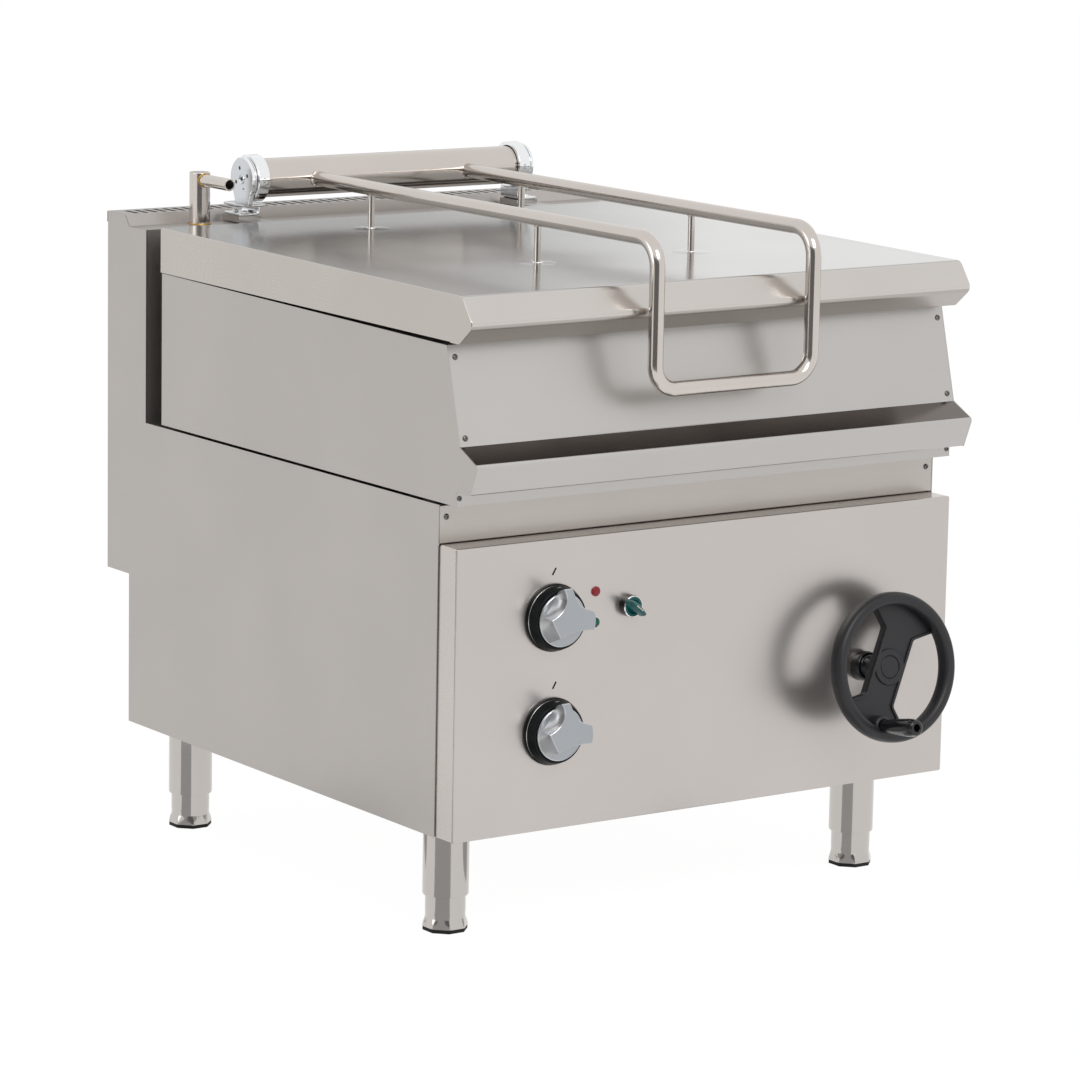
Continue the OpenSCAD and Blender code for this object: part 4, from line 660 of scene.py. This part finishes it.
# water spout: standpipe and nozzle, with uneven weld beads
SPOUT_X, SPOUT_Y, SPOUT_Z, NOZZLE_Z = -296, 762.25, 841, 902.5
p = Piece().at((SPOUT_X, SPOUT_Y, SPOUT_Z))
p.lathe(rounded([(0, 72), (14.5, 72), (14.5, 0)], [0, 1.6, 0], 4), 72)
p.at((SPOUT_X, SPOUT_Y, NOZZLE_Z), -Y)
p.lathe(rounded([(8.5, 12.8), (8.5, 80), (6.5, 80), (6.5, 14), (8.5, 12.8)], [0, 0.5, 0.5, 0, 0], 2), 56)
p.done("spout_pipe", M["tube_steel"], "cabinet", "tube_steel", "water_spout")
p = Piece().at((SPOUT_X, SPOUT_Y, NOZZLE_Z), -Y)
rings = []
for i in range(56):
    a = 2 * math.pi * i / 56
    hx, hz = 8.9 * math.cos(a), 8.9 * math.sin(a)
    base = math.sqrt(max(0, 14.6 ** 2 - hx ** 2))
    k = 1.1 * (1 + 0.25 * math.sin(i * 2.1))
    turns = [2 * math.pi * j / 10 for j in range(10)]
    rings.append(p.ring([(hx + k * math.cos(b) * math.cos(a), hz + k * math.cos(b) * math.sin(a),
                          base + k * math.sin(b)) for b in turns]))
p.skin(rings, wrap=True)
p.at((SPOUT_X, SPOUT_Y, SPOUT_Z + 0.6))
p.torus(14.9, 1.2, 72, 10, 0.25, 0.8)
p.done("spout_welds", heat_tint, "cabinet", "tube_steel")
# a black disc inside the nozzle's bore: painted shade
p = Piece().at((SPOUT_X, SPOUT_Y - 60, NOZZLE_Z), -Y)
p.lathe([(0, 0), (6.45, 0)], 40)
p.done("nozzle_bore_shade", painted_shade_black, "cabinet", "tube_steel", weight=False)

# control knobs
KNOB_X, KNOB_Z = -249.0, {"upper": 422.0, "lower": 274.0}


def on_panel(x, z, deeper=0.0):
    """A new piece whose local z axis points out of the control panel."""
    return Piece().at((x, FACE_Y + deeper, z), -Y)


def curve(pts, steps=5):
    """A smooth path through 2-D points."""
    q = [Vector(v) for v in pts]
    q = [q[0] * 2 - q[1]] + q + [q[-1] * 2 - q[-2]]
    out = []
    for i in range(1, len(q) - 2):
        a, b, c, d = q[i - 1:i + 3]
        for j in range(steps):
            t = j / steps
            out.append(tuple(0.5 * (2 * b + (c - a) * t + (2 * a - 5 * b + 4 * c - d) * t * t
                                    + (3 * b - a - 3 * c + d) * t ** 3)))
    return out + [tuple(q[-2])]


def straight(a, b, steps=8):
    return [tuple(Vector(a).lerp(Vector(b), i / steps)) for i in range(steps + 1)]


# the grip's outline at its front face, and at the disc that it stands on: the scooped flank, the broad end,
# the hollow side up to the pointer, the pointer, the lower side and the flat flank
GRIP_TOP = [curve([(-30, 5.5), (-19.5, 10.5), (-11.9, 17.7), (-7.6, 28.3), (-8.6, 37.3), (-12.2, 44.2)]),
            straight((-12.2, 44.2), (0.6, 44.0)),
            curve([(0.6, 44.0), (8.4, 29), (17.4, 18.8), (35, 12)]),
            curve([(35, 12), (37.4, 5.3), (37.8, -5.7), (36, -12.2)], 3),
            curve([(36, -12.2), (11, -12.7), (-16.2, -19.3)]),
            straight((-16.2, -19.3), (-30, 5.5))]
GRIP_FOOT = [curve([(-33.4, 7.3), (-27.5, 10.7), (-20.0, 18.1), (-14.6, 28), (-13.0, 31), (-12.5, 32)]),
             straight((-12.5, 32), (0.5, 34.3)),
             curve([(0.5, 34.3), (10, 28.5), (18, 20.5), (32.5, 10.6)]),
             curve([(32.5, 10.6), (34, 4), (34, -6.5), (32.4, -11.5)], 3),
             curve([(32.4, -11.5), (12, -18.2), (-19.5, -24)]),
             arc(0, 0, 34.0, 233, 168, 8)]
# how fast each stretch flares from the foot to the face; 1 is straight
GRIP_FLARE = [2.4, 1.0, 2.0, 1.0, 2.0, 1.0]
GRIP_LOW, GRIP_RISE, GRIP_STEPS = 21.3, 17.9, 8


def grip(p):
    top = [v for part in GRIP_TOP for v in part[:-1]]
    foot = [v for part in GRIP_FOOT for v in part[:-1]]
    flare = [f for part, f in zip(GRIP_TOP, GRIP_FLARE) for _ in part[:-1]]
    rings = []
    for i in range(GRIP_STEPS + 1):
        t = i / GRIP_STEPS
        ring = []
        for a, b, f in zip(top, foot, flare):
            out = 1 - (1 - t) ** f
            ring.append((b[0] + (a[0] - b[0]) * out, b[1] + (a[1] - b[1]) * out, GRIP_LOW + GRIP_RISE * t))
        rings.append(p.ring(ring))
    way = 1 if outline_area(top) > 0 else -1
    for inset, h in ((0.45, 39.6), (1.1, 40.0)):
        rings.append(p.ring([(v[0], v[1], h) for v in offset(top, inset * way, True)]))
    p.skin(rings)
    edges = [p.bm.edges.get((rings[-1][i], rings[-1][(i + 1) % len(top)])) for i in range(len(top))]
    bmesh.ops.triangle_fill(p.bm, edges=[e for e in edges if e], use_beauty=True)


def knob(name, z):
    """Base ring and bright ring on the panel, the thermostat behind it, and the turning skirt and cap."""
    body = name + "_knob"
    p = on_panel(KNOB_X, z)
    p.lathe(rounded([(32, 0.05), (43.9, 0.05), (43.9, 3.4), (43.4, 3.7), (32, 3.7)], 0.3, 3), 112)
    stands_for = ["thermostats"] if name == "upper" else []
    p.done("knob_base_" + name, skirt_black, "cabinet", "black_plastic", *stands_for)
    p = on_panel(KNOB_X, z)
    p.lathe(rounded([(33, 3.65), (42.5, 3.65), (42.5, 6.3), (33, 6.4)], [0, 0.3, 0.5, 0], 3), 144)
    p.done("knob_ring_" + name, chrome, "cabinet", "bright_chrome")
    p = Piece().at((KNOB_X, FACE_Y + 1.6, z), Y)
    p.box((-14, -14, 0), (14, 14, 27), 2.0, 3)
    p.lathe(rounded([(4, 26), (5, 26), (5, 28.5), (0, 28.5)], [0, 0, 1, 0], 3), 24)
    p.at((KNOB_X, FACE_Y + 2, z), -Y)
    p.lathe([(0, 0), (8, 0), (8, 5), (0, 5)], 32)
    p.done("thermostat_" + name, M["machined_steel"], "cabinet", "machined_steel")
    # skirt: tapered, with a rounded shoulder and a small pointer mark at its top
    p = on_panel(KNOB_X, z)
    p.lathe(rounded([(13.6, 2.5), (30.5, 2.5), (30.5, 6.5), (42.9, 6.5), (42.4, 8.2), (38.4, 18.0),
                     (36.0, 18.4), (35.0, 16.5), (13.6, 16.5)], [0, 0, 0, 0.4, 1.0, 1.6, 0.4, 0, 0], 4), 112)
    p.done("skirt_" + name, skirt_black, body, "black_plastic", "knob_skirt_" + name)
    p = Piece().at((KNOB_X, FACE_Y - 10.5, z + 40.3), (0, 0.19, 1))
    p.lathe(rounded([(0, 0.45), (3.1, 0.4), (3.3, 0.0)], 0.3, 2), 24)
    p.done("skirt_mark_" + name, M["grey_plastic"], body, "grey_plastic")
    # silver cap: a disc with a rolled rim, and the grip
    p = on_panel(KNOB_X, z)
    p.lathe(rounded([(0, 21.5), (33.4, 21.5), (34.7, 20.8), (35.1, 19.5), (34.4, 17.6), (13.4, 17.6),
                     (13.4, 4)], [0, 1.0, 0.8, 0.8, 0.5, 0, 0], 4), 112)
    grip(p)
    cap = p.done("cap_" + name, M["silver_caps"], body, "silver_caps", "knob_cap_" + name, angle=34)
    # the flanks and the rolled rim get the lighter silver: painted highlight
    paint(cap, [(cap_flank_highlight, lambda f: f.normal.y > -0.93)])


for name in ("upper", "lower"):
    knob(name, KNOB_Z[name])

# printed strokes above the knobs: the places of their two ends on the panel
STROKES = (((-246.5, 485.9), (-251.7, 477.0)), ((-243.1, 338.0), (-248.3, 329.0)))
STROKE_HALF = 1.2
p = Piece().at(ORIGIN, -Y)
for top, foot in STROKES:
    a, b = Vector(top), Vector(foot)
    way = (b - a).normalized()
    side = Vector((-way.y, way.x)) * STROKE_HALF
    outline = [tuple(a + side), tuple(b + side), tuple(b - side), tuple(a - side)]
    p.prism(outline, -FACE_Y - 0.02, -FACE_Y + 0.08)
p.done("panel_marks", ink, "cabinet", "black_plastic", weight=False)

# pilot lamps: a lens with rings, in a low collar
LAMP_X, LAMP_Z = -184, {"red": 449.5, "green": 409.0}
for name in ("red", "green"):
    p = on_panel(LAMP_X, LAMP_Z[name])
    p.lathe(rounded([(0, 3.2), (1.4, 3.2), (1.9, 2.3), (2.6, 2.3), (3.1, 3.0), (3.7, 3.0), (4.2, 2.0),
                     (4.8, 2.0), (5.4, 2.5), (6.5, 1.3), (6.5, 0)],
                    [0, 0.2, 0.1, 0.1, 0.2, 0.2, 0.1, 0.1, 0.4, 0.4, 0], 3), 56)
    p.done(name + "_lens", M[name + "_lens"], "cabinet", name + "_lens", name + "_lamp")

# selector: a chrome barrel drawn in dark steel, a painted dark reflection, with a bright lip, a cupped green
# disc and a pointed lever with a ridge
SELECTOR_X, SELECTOR_Z, LEVER_TURN = -132.0, 426.5, math.radians(-38)
p = on_panel(SELECTOR_X, SELECTOR_Z)
p.lathe(rounded([(14.5, 0), (14.5, 10.0), (12.0, 10.0)], [0, 0.5, 0], 4), 80)
p.done("selector_barrel", barrel_dark_reflection, "cabinet", "bright_chrome")
p = on_panel(SELECTOR_X, SELECTOR_Z)
p.lathe(rounded([(14.1, 9.9), (14.3, 11.0), (13.4, 12.0), (12.9, 12.0), (12.5, 11.0), (12.5, 6.4)],
                [0, 0.5, 0.5, 0.3, 0.3, 0], 4), 80)
p.done("selector_bezel", chrome, "cabinet", "bright_chrome", "selector_switch")
p = on_panel(SELECTOR_X, SELECTOR_Z)
p.lathe(rounded([(0, 9.8), (7.6, 9.8), (9.6, 11.9), (11.4, 12.6), (12.2, 11.4), (12.2, 6.8), (5, 6.8),
                 (5, 0.5)], [0, 1.2, 1.0, 0.6, 0.5, 0, 0, 0], 4), 72)
along = Vector((math.cos(LEVER_TURN), math.sin(LEVER_TURN)))
across = Vector((-math.sin(LEVER_TURN), math.cos(LEVER_TURN)))
lever_half = [(-15.0, -2.6), (-8, -6.4), (2, -6.6), (10, -4.6), (18.2, -3.8)]
lever = rounded(lever_half + [(x, -y) for x, y in lever_half[::-1]], 1.8, 3, True)
# each ring: share of the lever's width, height at the disc and at the tip, share of the lever's length
LEVER_RINGS = ((1.0, 10.2, 10.2, 1.0), (0.96, 14.5, 13.6, 1.0), (0.76, 20.5, 17.6, 0.98),
               (0.42, 24.6, 20.4, 0.95), (0.2, 26.0, 21.4, 0.92))
rings = []
for wide, disc_h, tip_h, long in LEVER_RINGS:
    ring = []
    for v in lever:
        t = min(1, max(0, (v[0] - 5) / 13))
        ring.append(tuple(along * v[0] * long + across * v[1] * wide) + (disc_h + (tip_h - disc_h) * t,))
    rings.append(p.ring(ring))
p.skin(rings)
p.face(rings[-1])
p.face(rings[0][::-1])
p.done("selector_lever", M["teal_plastic"], "selector_body", "teal_plastic", "selector_handle", angle=30)
p = on_panel(SELECTOR_X, SELECTOR_Z)
line = [(-7, -0.7), (5.5, -0.6), (5.5, 0.6), (-7, 0.7)]
p.prism([tuple(along * v[0] + across * v[1]) for v in line], 26.8, 27.25, 0, 0.2)
p.done("selector_line", M["grey_plastic"], "selector_body", "grey_plastic")

# screws of the rail and of the pan's casing, in a dark steel in place of their chrome: painted dark
# reflection
SCREW_X, SIDE_SCREW_X, SCREW_R, SCREW_H = 388, 393, 3.9, 1.8
p = Piece()
for s in (-1, 1):
    p.at((s * SCREW_X, 0, 558), -Y, (1, 0.25 * s, 0.4))
    p.screw(SCREW_R, SCREW_H)
p.done("rail_screws", screw_dark_reflection, "cabinet", "bright_chrome", "cabinet_screws")
p = Piece()
run, rise = CASING_TOP[0] - CASING_FOLD[0], CASING_TOP[1] - CASING_FOLD[1]
for s in (-1, 1):
    for z in (762, 663):
        y = CASING_TOP[0] - (CASING_TOP[1] - z) * (run / rise)
        p.at((s * SCREW_X, y, z), Vector((0, -rise, run)), (1, 0, 0.3 * s))
        p.screw(SCREW_R, SCREW_H)
    p.at((s * SIDE_SCREW_X, RETURN_Y, 587), -Y, (1, 0, 0.6))
    p.screw(3.5, SCREW_H)
p.done("pan_front_screws", screw_dark_reflection, "pan", "bright_chrome", "pan_screws")

# handwheel, on an axis that leans back
WHEEL_X, WHEEL_Z, WHEEL_OUT, WHEEL_LEAN = 256, 305, 66, math.radians(9)
WEB_TURN, CRANK_TURN, CRANK_R = math.radians(63.5), math.radians(248), 80.5
LEAN_COS, LEAN_SIN = math.cos(WHEEL_LEAN), math.sin(WHEEL_LEAN)
WHEEL_AXIS = Vector((0, -LEAN_COS, LEAN_SIN))


def wheel_at(out):
    return Vector((WHEEL_X, FACE_Y - out * LEAN_COS, WHEEL_Z + out * LEAN_SIN))


def round_wheel(across, up):
    """A direction in the wheel's plane."""
    return Vector((across, up * LEAN_SIN, up * LEAN_COS))


def on_wheel(at=wheel_at(WHEEL_OUT), x=X):
    return Piece().at(at, WHEEL_AXIS, x)


# rim: a deep oval section with a flatter inner face
p = on_wheel()
section = []
for i in range(28):
    t = 2 * math.pi * i / 28
    c, s = math.cos(t), math.sin(t)
    section.append((91.2 + 8.8 * math.copysign(abs(c) ** 0.72, c), 12.0 * math.copysign(abs(s) ** 0.8, s)))
p.lathe(section + [section[0]], 144)
p.done("wheel_rim", wheel_black, "handwheel_body", "black_plastic", "handwheel", angle=50)

# webs: a thin fan-shaped plate on each side with a raised rib along both edges
p = on_wheel(x=round_wheel(math.cos(WEB_TURN), math.sin(WEB_TURN)))
side = [(67.5, 51.5), (47, 24.4), (-47, 24.4), (-67.5, 51.5)]
half_web = [(86.2, 6), (80, 33)] + side + [(-80, 33), (-86.2, 6)]
web = half_web + [(-x, -y) for x, y in half_web]
p.prism(rounded(web, [0, 0, 0, 5, 5, 0, 0, 0] * 2, 4, True), -11.0, -8.2, 0.5, 0.5, 2)
for s in (1, -1):
    line = rounded([(x, y * s) for x, y in side], [0, 6, 6, 0], 5)
    p.prism(line + offset(line, 3.6 * s)[::-1], -19.5, -5.4, 0.6, 0.9, 3)
# hub with a ring groove round the cap, and its shank behind
p.at(wheel_at(WHEEL_OUT), WHEEL_AXIS)
p.lathe(rounded([(0, -7.2), (15.2, -7.2), (15.4, -6.3), (16.2, -5.5), (23.4, -5.5), (24.4, -6.6),
                 (24.4, -22), (20.5, -24), (11, -24)], [0, 0.2, 0.3, 0.5, 1.2, 1.0, 2.0, 1.0, 0], 3), 96)
p.done("wheel_webs", wheel_black, "handwheel_body", "black_plastic", angle=35)
p = on_wheel()
p.lathe(rounded([(0, -5.7), (13.9, -5.9), (14.8, -6.7), (14.8, -7.3)], [0, 0.8, 0.4, 0], 3), 72)
p.done("wheel_hub_cap", wheel_black, "handwheel_body", "black_plastic", "hub_cap")

# crank: a boss with a rounded top on the rim, a bright neck and the grip
crank = wheel_at(WHEEL_OUT) + round_wheel(CRANK_R * math.cos(CRANK_TURN), CRANK_R * math.sin(CRANK_TURN))
p = on_wheel(crank)
p.lathe(rounded([(0, -13), (11.2, -13), (13.4, -6), (13.4, 8.5), (10.6, 11.0), (7.7, 9.6), (7.4, -1.6),
                 (0, -1.6)], [0, 1, 3, 2.5, 2, 1, 0.5, 0], 4), 64)
p.done("crank_boss", wheel_black, "handwheel_body", "black_plastic", angle=45)
p = on_wheel(crank)
p.lathe(rounded([(0, -1.7), (6.9, -1.7), (7.2, 0.5), (6.4, 3.0), (7.4, 5.4), (6.8, 8.2), (0, 8.2)],
                [0, 0.4, 0.8, 1, 0.8, 0.6, 0], 4), 56)
p.done("crank_neck", chrome, "handwheel_body", "bright_chrome", "crank_pin")
p = on_wheel(crank)
p.lathe(rounded([(7.6, 8.2), (8.2, 10.3), (9.4, 22.8), (11.2, 46.8), (12.0, 62.8), (11.9, 70.8),
                 (10.2, 78.2), (8.6, 79.4), (5.4, 79.4), (5.0, 78.4), (5.0, 64.8), (0, 64.8)],
                [0, 1, 20, 20, 8, 5, 2.0, 1.2, 0.5, 0.3, 0, 0], 5), 72)
p.done("crank_handle", grip_black, "grip_body", "black_plastic", "crank_grip", angle=40)

# boss on the panel, waisted like a moulded bushing
p = on_wheel(wheel_at(0))
p.lathe(rounded([(9.2, -1), (19.8, -1), (19.9, 12), (18.8, 15.5), (14.2, 17), (13.4, 24), (14, 37),
                 (12.6, 39.4), (9.2, 39.4)], [0, 0, 2, 2, 2, 4, 2, 1, 0], 4), 80)
p.done("wheel_boss", grip_black, "cabinet", "black_plastic", "wheel_bushing", angle=40)

# legs: a round shank that flares into an eight-sided base on a rubber pad, in a round sleeve
LEG_X, LEG_YS = 334, (70, 716)
LEGS = (("fl", "front_left", -LEG_X, LEG_YS[0]), ("fr", "front_right", LEG_X, LEG_YS[0]),
        ("rl", "rear_left", -LEG_X, LEG_YS[1]), ("rr", "rear_right", LEG_X, LEG_YS[1]))
# each ring of the base: height, radius across the flats, and how square its corners are
BASE_RINGS = ((17.6, 26.4, 0.0), (15.4, 26.6, 0.5), (12.5, 27.1, 0.85), (9.0, 27.7, 1.0), (5.9, 28.2, 1.0),
              (5.2, 27.8, 1.0))
PAD_R, EIGHTH = 27.6, math.pi / 4
for tag, name, lx, ly in LEGS:
    p = Piece().at((lx, ly, 0))
    p.lathe(rounded([(0, 104), (26.5, 104), (26.5, 26), (26.2, 22), (26.4, 17.5)], [0, 1, 6, 2, 0], 4), 72)
    rings = []
    for h, flat, square in BASE_RINGS:
        ring = []
        for i in range(64):
            a = 2 * math.pi * (i + 0.5) / 64
            corner = flat / math.cos((a + EIGHTH / 2) % EIGHTH - EIGHTH / 2)
            r = corner * square + flat * (1 - square)
            ring.append((r * math.cos(a), r * math.sin(a), h))
        rings.append(p.ring(ring))
    p.skin(rings)
    p.face(rings[-1])
    p.done("foot_" + tag, M["foot_steel"], "foot_" + tag, "foot_steel", angle=24)
    p = Piece().at((lx, ly, 0))
    octagon = arc(0, 0, PAD_R / math.cos(EIGHTH / 2), 22.5, 22.5 + 315, 7)
    p.prism(rounded(octagon, 2.0, 2, True), 0, 5.15, 0.8, 0.5, 2)
    p.done("foot_pad_" + tag, M["black_rubber"], "foot_" + tag, "black_rubber", "foot_" + name)
p = Piece()
sleeve = rounded([(26.7, 50.5), (27.2, 47.6), (29.3, 47.05), (30.25, 49.5), (30.25, 146.4)],
                 [0, 0.8, 1.0, 1.5, 0], 4)
for lx in (-LEG_X, LEG_X):
    for ly in LEG_YS:
        p.at((lx, ly, 0))
        p.lathe(sleeve, 72)
p.done("sleeves", M["foot_steel"], "cabinet", "foot_steel", "leg_sleeves")

# fixing screws of the rear sheets: the flue's back, then the lower panel's
p = Piece()
for y, heights in ((835.0, (385, 560, 835)), (775.0, (165, 335))):
    for x in (-380, -190, 0, 190, 380):
        for z in heights:
            p.at((x, y, z), Y, (1, 0, 0.4))
            p.screw(3.6, 1.6)
p.done("rear_screws", chrome, "cabinet", "bright_chrome")


# stage
def background_ray(n, k):
    """1 on rays that show the background itself: from the camera, in a reflection or through glass."""
    path = n.new("ShaderNodeLightPath")
    seen = path.outputs["Is Camera Ray"]
    for ray in ("Is Glossy Ray", "Is Transmission Ray"):
        most = n.new("ShaderNodeMath")
        most.operation = "MAXIMUM"
        k.new(seen, most.inputs[0])
        k.new(path.outputs[ray], most.inputs[1])
        seen = most.outputs[0]
    return seen


me = bpy.data.meshes.new("floor")
bm = bmesh.new()
bmesh.ops.create_circle(bm, cap_ends=True, segments=96, radius=16)
bm.to_mesh(me)
bm.free()
floor = place(me)
m, n, k, b = new_mat("floor_white")
out = n["Material Output"]
n.remove(b)
dif = n.new("ShaderNodeBsdfDiffuse")
dif.inputs["Color"].default_value = (0.9, 0.9, 0.9, 1)
emi = n.new("ShaderNodeEmission")
emi.inputs["Color"].default_value = (1, 1, 1, 1)
emi.inputs["Strength"].default_value = 1.06
# a tenth of the diffuse floor stays in the white, so the object keeps its shadow
share = n.new("ShaderNodeMath")
share.operation = "MULTIPLY"
share.inputs[1].default_value = 0.9
k.new(background_ray(n, k), share.inputs[0])
mix = n.new("ShaderNodeMixShader")
k.new(share.outputs[0], mix.inputs[0])
k.new(dif.outputs[0], mix.inputs[1])
k.new(emi.outputs[0], mix.inputs[2])
k.new(mix.outputs[0], out.inputs["Surface"])
me.materials.append(m)

world = bpy.data.worlds.new("studio")
bpy.context.scene.world = world
world.use_nodes = True
n, k = world.node_tree.nodes, world.node_tree.links
bg = n["Background"]
bg.inputs["Color"].default_value = (1, 1, 1, 1)
level = n.new("ShaderNodeMapRange")
level.inputs["To Min"].default_value = 0.55
level.inputs["To Max"].default_value = 1.0
k.new(background_ray(n, k), level.inputs["Value"])
k.new(level.outputs["Result"], bg.inputs["Strength"])


def lamp(name, loc, aim, w, h, power, glossy=True):
    d = bpy.data.lights.new(name, "AREA")
    d.shape = "RECTANGLE"
    d.size, d.size_y = w, h
    d.energy = power
    ob = bpy.data.objects.new(name, d)
    ob.location = loc
    ob.rotation_euler = (Vector(aim) - Vector(loc)).to_track_quat("-Z", "Y").to_euler()
    ob.visible_glossy = glossy
    bpy.context.scene.collection.objects.link(ob)


lamp("key", (-0.6, -3.6, 3.2), (0, 0, 0.5), 2.6, 1.6, 60)
lamp("fill", (-4.2, 0.6, 1.8), (0, 0, 0.5), 2.0, 2.0, 18)
lamp("back", (2.6, 3.4, 1.5), (0.1, 0, 0.85), 2.4, 1.2, 14, glossy=False)


# sheets that only reflections show
def glow(name, strength=1.0):
    m, n, k, b = new_mat(name)
    n.remove(b)
    e = n.new("ShaderNodeEmission")
    e.inputs["Strength"].default_value = strength
    k.new(e.outputs[0], n["Material Output"].inputs["Surface"])
    return m, n, k, e


def reflected(me, mat):
    ob = place(me)
    me.materials.append(mat)
    ob.visible_camera = False
    ob.visible_diffuse = False
    ob.visible_shadow = False


# a grey card behind the machine gives the polished lid its even tone; it is brighter to the right
CARD_X, CARD_Y, CARD_Z = (-1500, 6500), 3600, (1180, 1900)
CARD_LEVEL, CARD_RISE, CARD_POWER = (0.55, 1.12), (1.75, 2.75), 1.5
p = Piece()
p.face(p.ring([(CARD_X[0], CARD_Y, CARD_Z[0]), (CARD_X[1], CARD_Y, CARD_Z[0]), (CARD_X[1], CARD_Y, CARD_Z[1]),
               (CARD_X[0], CARD_Y, CARD_Z[1])]))
m, n, k, emi = glow("card_grey")
tc = n.new("ShaderNodeTexCoord")
sep = n.new("ShaderNodeSeparateXYZ")
k.new(tc.outputs["Object"], sep.inputs[0])
power = n.new("ShaderNodeMath")
power.operation = "POWER"
power.inputs[1].default_value = CARD_POWER
k.new(span(n, k, sep.outputs["X"], 0.0, 1.0, *CARD_RISE), power.inputs[0])
k.new(span(n, k, power.outputs[0], *CARD_LEVEL, 0.0, 1.0), emi.inputs["Strength"])
reflected(p.mesh("card"), m)

# dark cloths in front of the legs and a dark screen beside the camera give each upright tube its dark band;
# each cloth: its leg, the two ends of its rim as angles, and the rim's height
CLOTHS = ((-LEG_X, LEG_YS[0], -51, 26, 80), (LEG_X, LEG_YS[0], -50, 5, 80), (-LEG_X, LEG_YS[1], -44, 10, 50))
CLOTH_R, CLOTH_ZERO = 400, 126.9
p = Piece()
for i, (lx, ly, a0, a1, h) in enumerate(CLOTHS):
    z = 0.6 + i * 0.2
    rim = [(lx + x, ly + y) for x, y in arc(0, 0, CLOTH_R, a0 - CLOTH_ZERO, a1 - CLOTH_ZERO, 12)]
    low = p.ring([(x, y, z) for x, y in rim])
    top = p.ring([(x, y, h) for x, y in rim])
    p.face(p.ring([(lx, ly, z)]) + low)
    p.skin([low, top], loop=False)
cloths = p.mesh("cloths")
SCREEN_ENDS, SCREEN_Z = ((-2321, -398), (-535, -2058)), (150, 1500)
(x0, y0), (x1, y1), (z0, z1) = *SCREEN_ENDS, SCREEN_Z
p = Piece()
p.face(p.ring([(x0, y0, z0), (x1, y1, z0), (x1, y1, z1), (x0, y0, z1)]))
reflected(cloths, glow("cloths_dark", 0.46)[0])
reflected(p.mesh("screen"), glow("screen_dark", 0.15)[0])

# camera, fitted to the straight edges of the photo
YAW, PITCH, ROLL = math.radians(34.98), math.radians(10.56), math.radians(1.06)
CAMERA_AT = (-3611.1, -4812.1, 1609.9)
IMAGE_SIDE, FOCAL_PIXELS, SENSOR = 1080, 4692, 36
fwd = Vector((math.sin(YAW) * math.cos(PITCH), math.cos(YAW) * math.cos(PITCH), -math.sin(PITCH)))
level_right = Vector((math.cos(YAW), -math.sin(YAW), 0))
level_up = level_right.cross(fwd)
right = level_right * math.cos(ROLL) + level_up * math.sin(ROLL)
up = level_up * math.cos(ROLL) - level_right * math.sin(ROLL)
cd = bpy.data.cameras.new("camera")
cd.sensor_width = SENSOR
cd.sensor_fit = "HORIZONTAL"
cd.lens = FOCAL_PIXELS / IMAGE_SIDE * SENSOR
cd.clip_end = 60
cam = bpy.data.objects.new("camera", cd)
loc = P(*CAMERA_AT)
cam.matrix_world = Matrix(((right.x, up.x, -fwd.x, loc.x), (right.y, up.y, -fwd.y, loc.y),
                           (right.z, up.z, -fwd.z, loc.z), (0, 0, 0, 1)))
bpy.context.scene.collection.objects.link(cam)
bpy.context.scene.camera = cam
bpy.context.scene.view_settings.view_transform = "Standard"

bpy.context.view_layer.update()
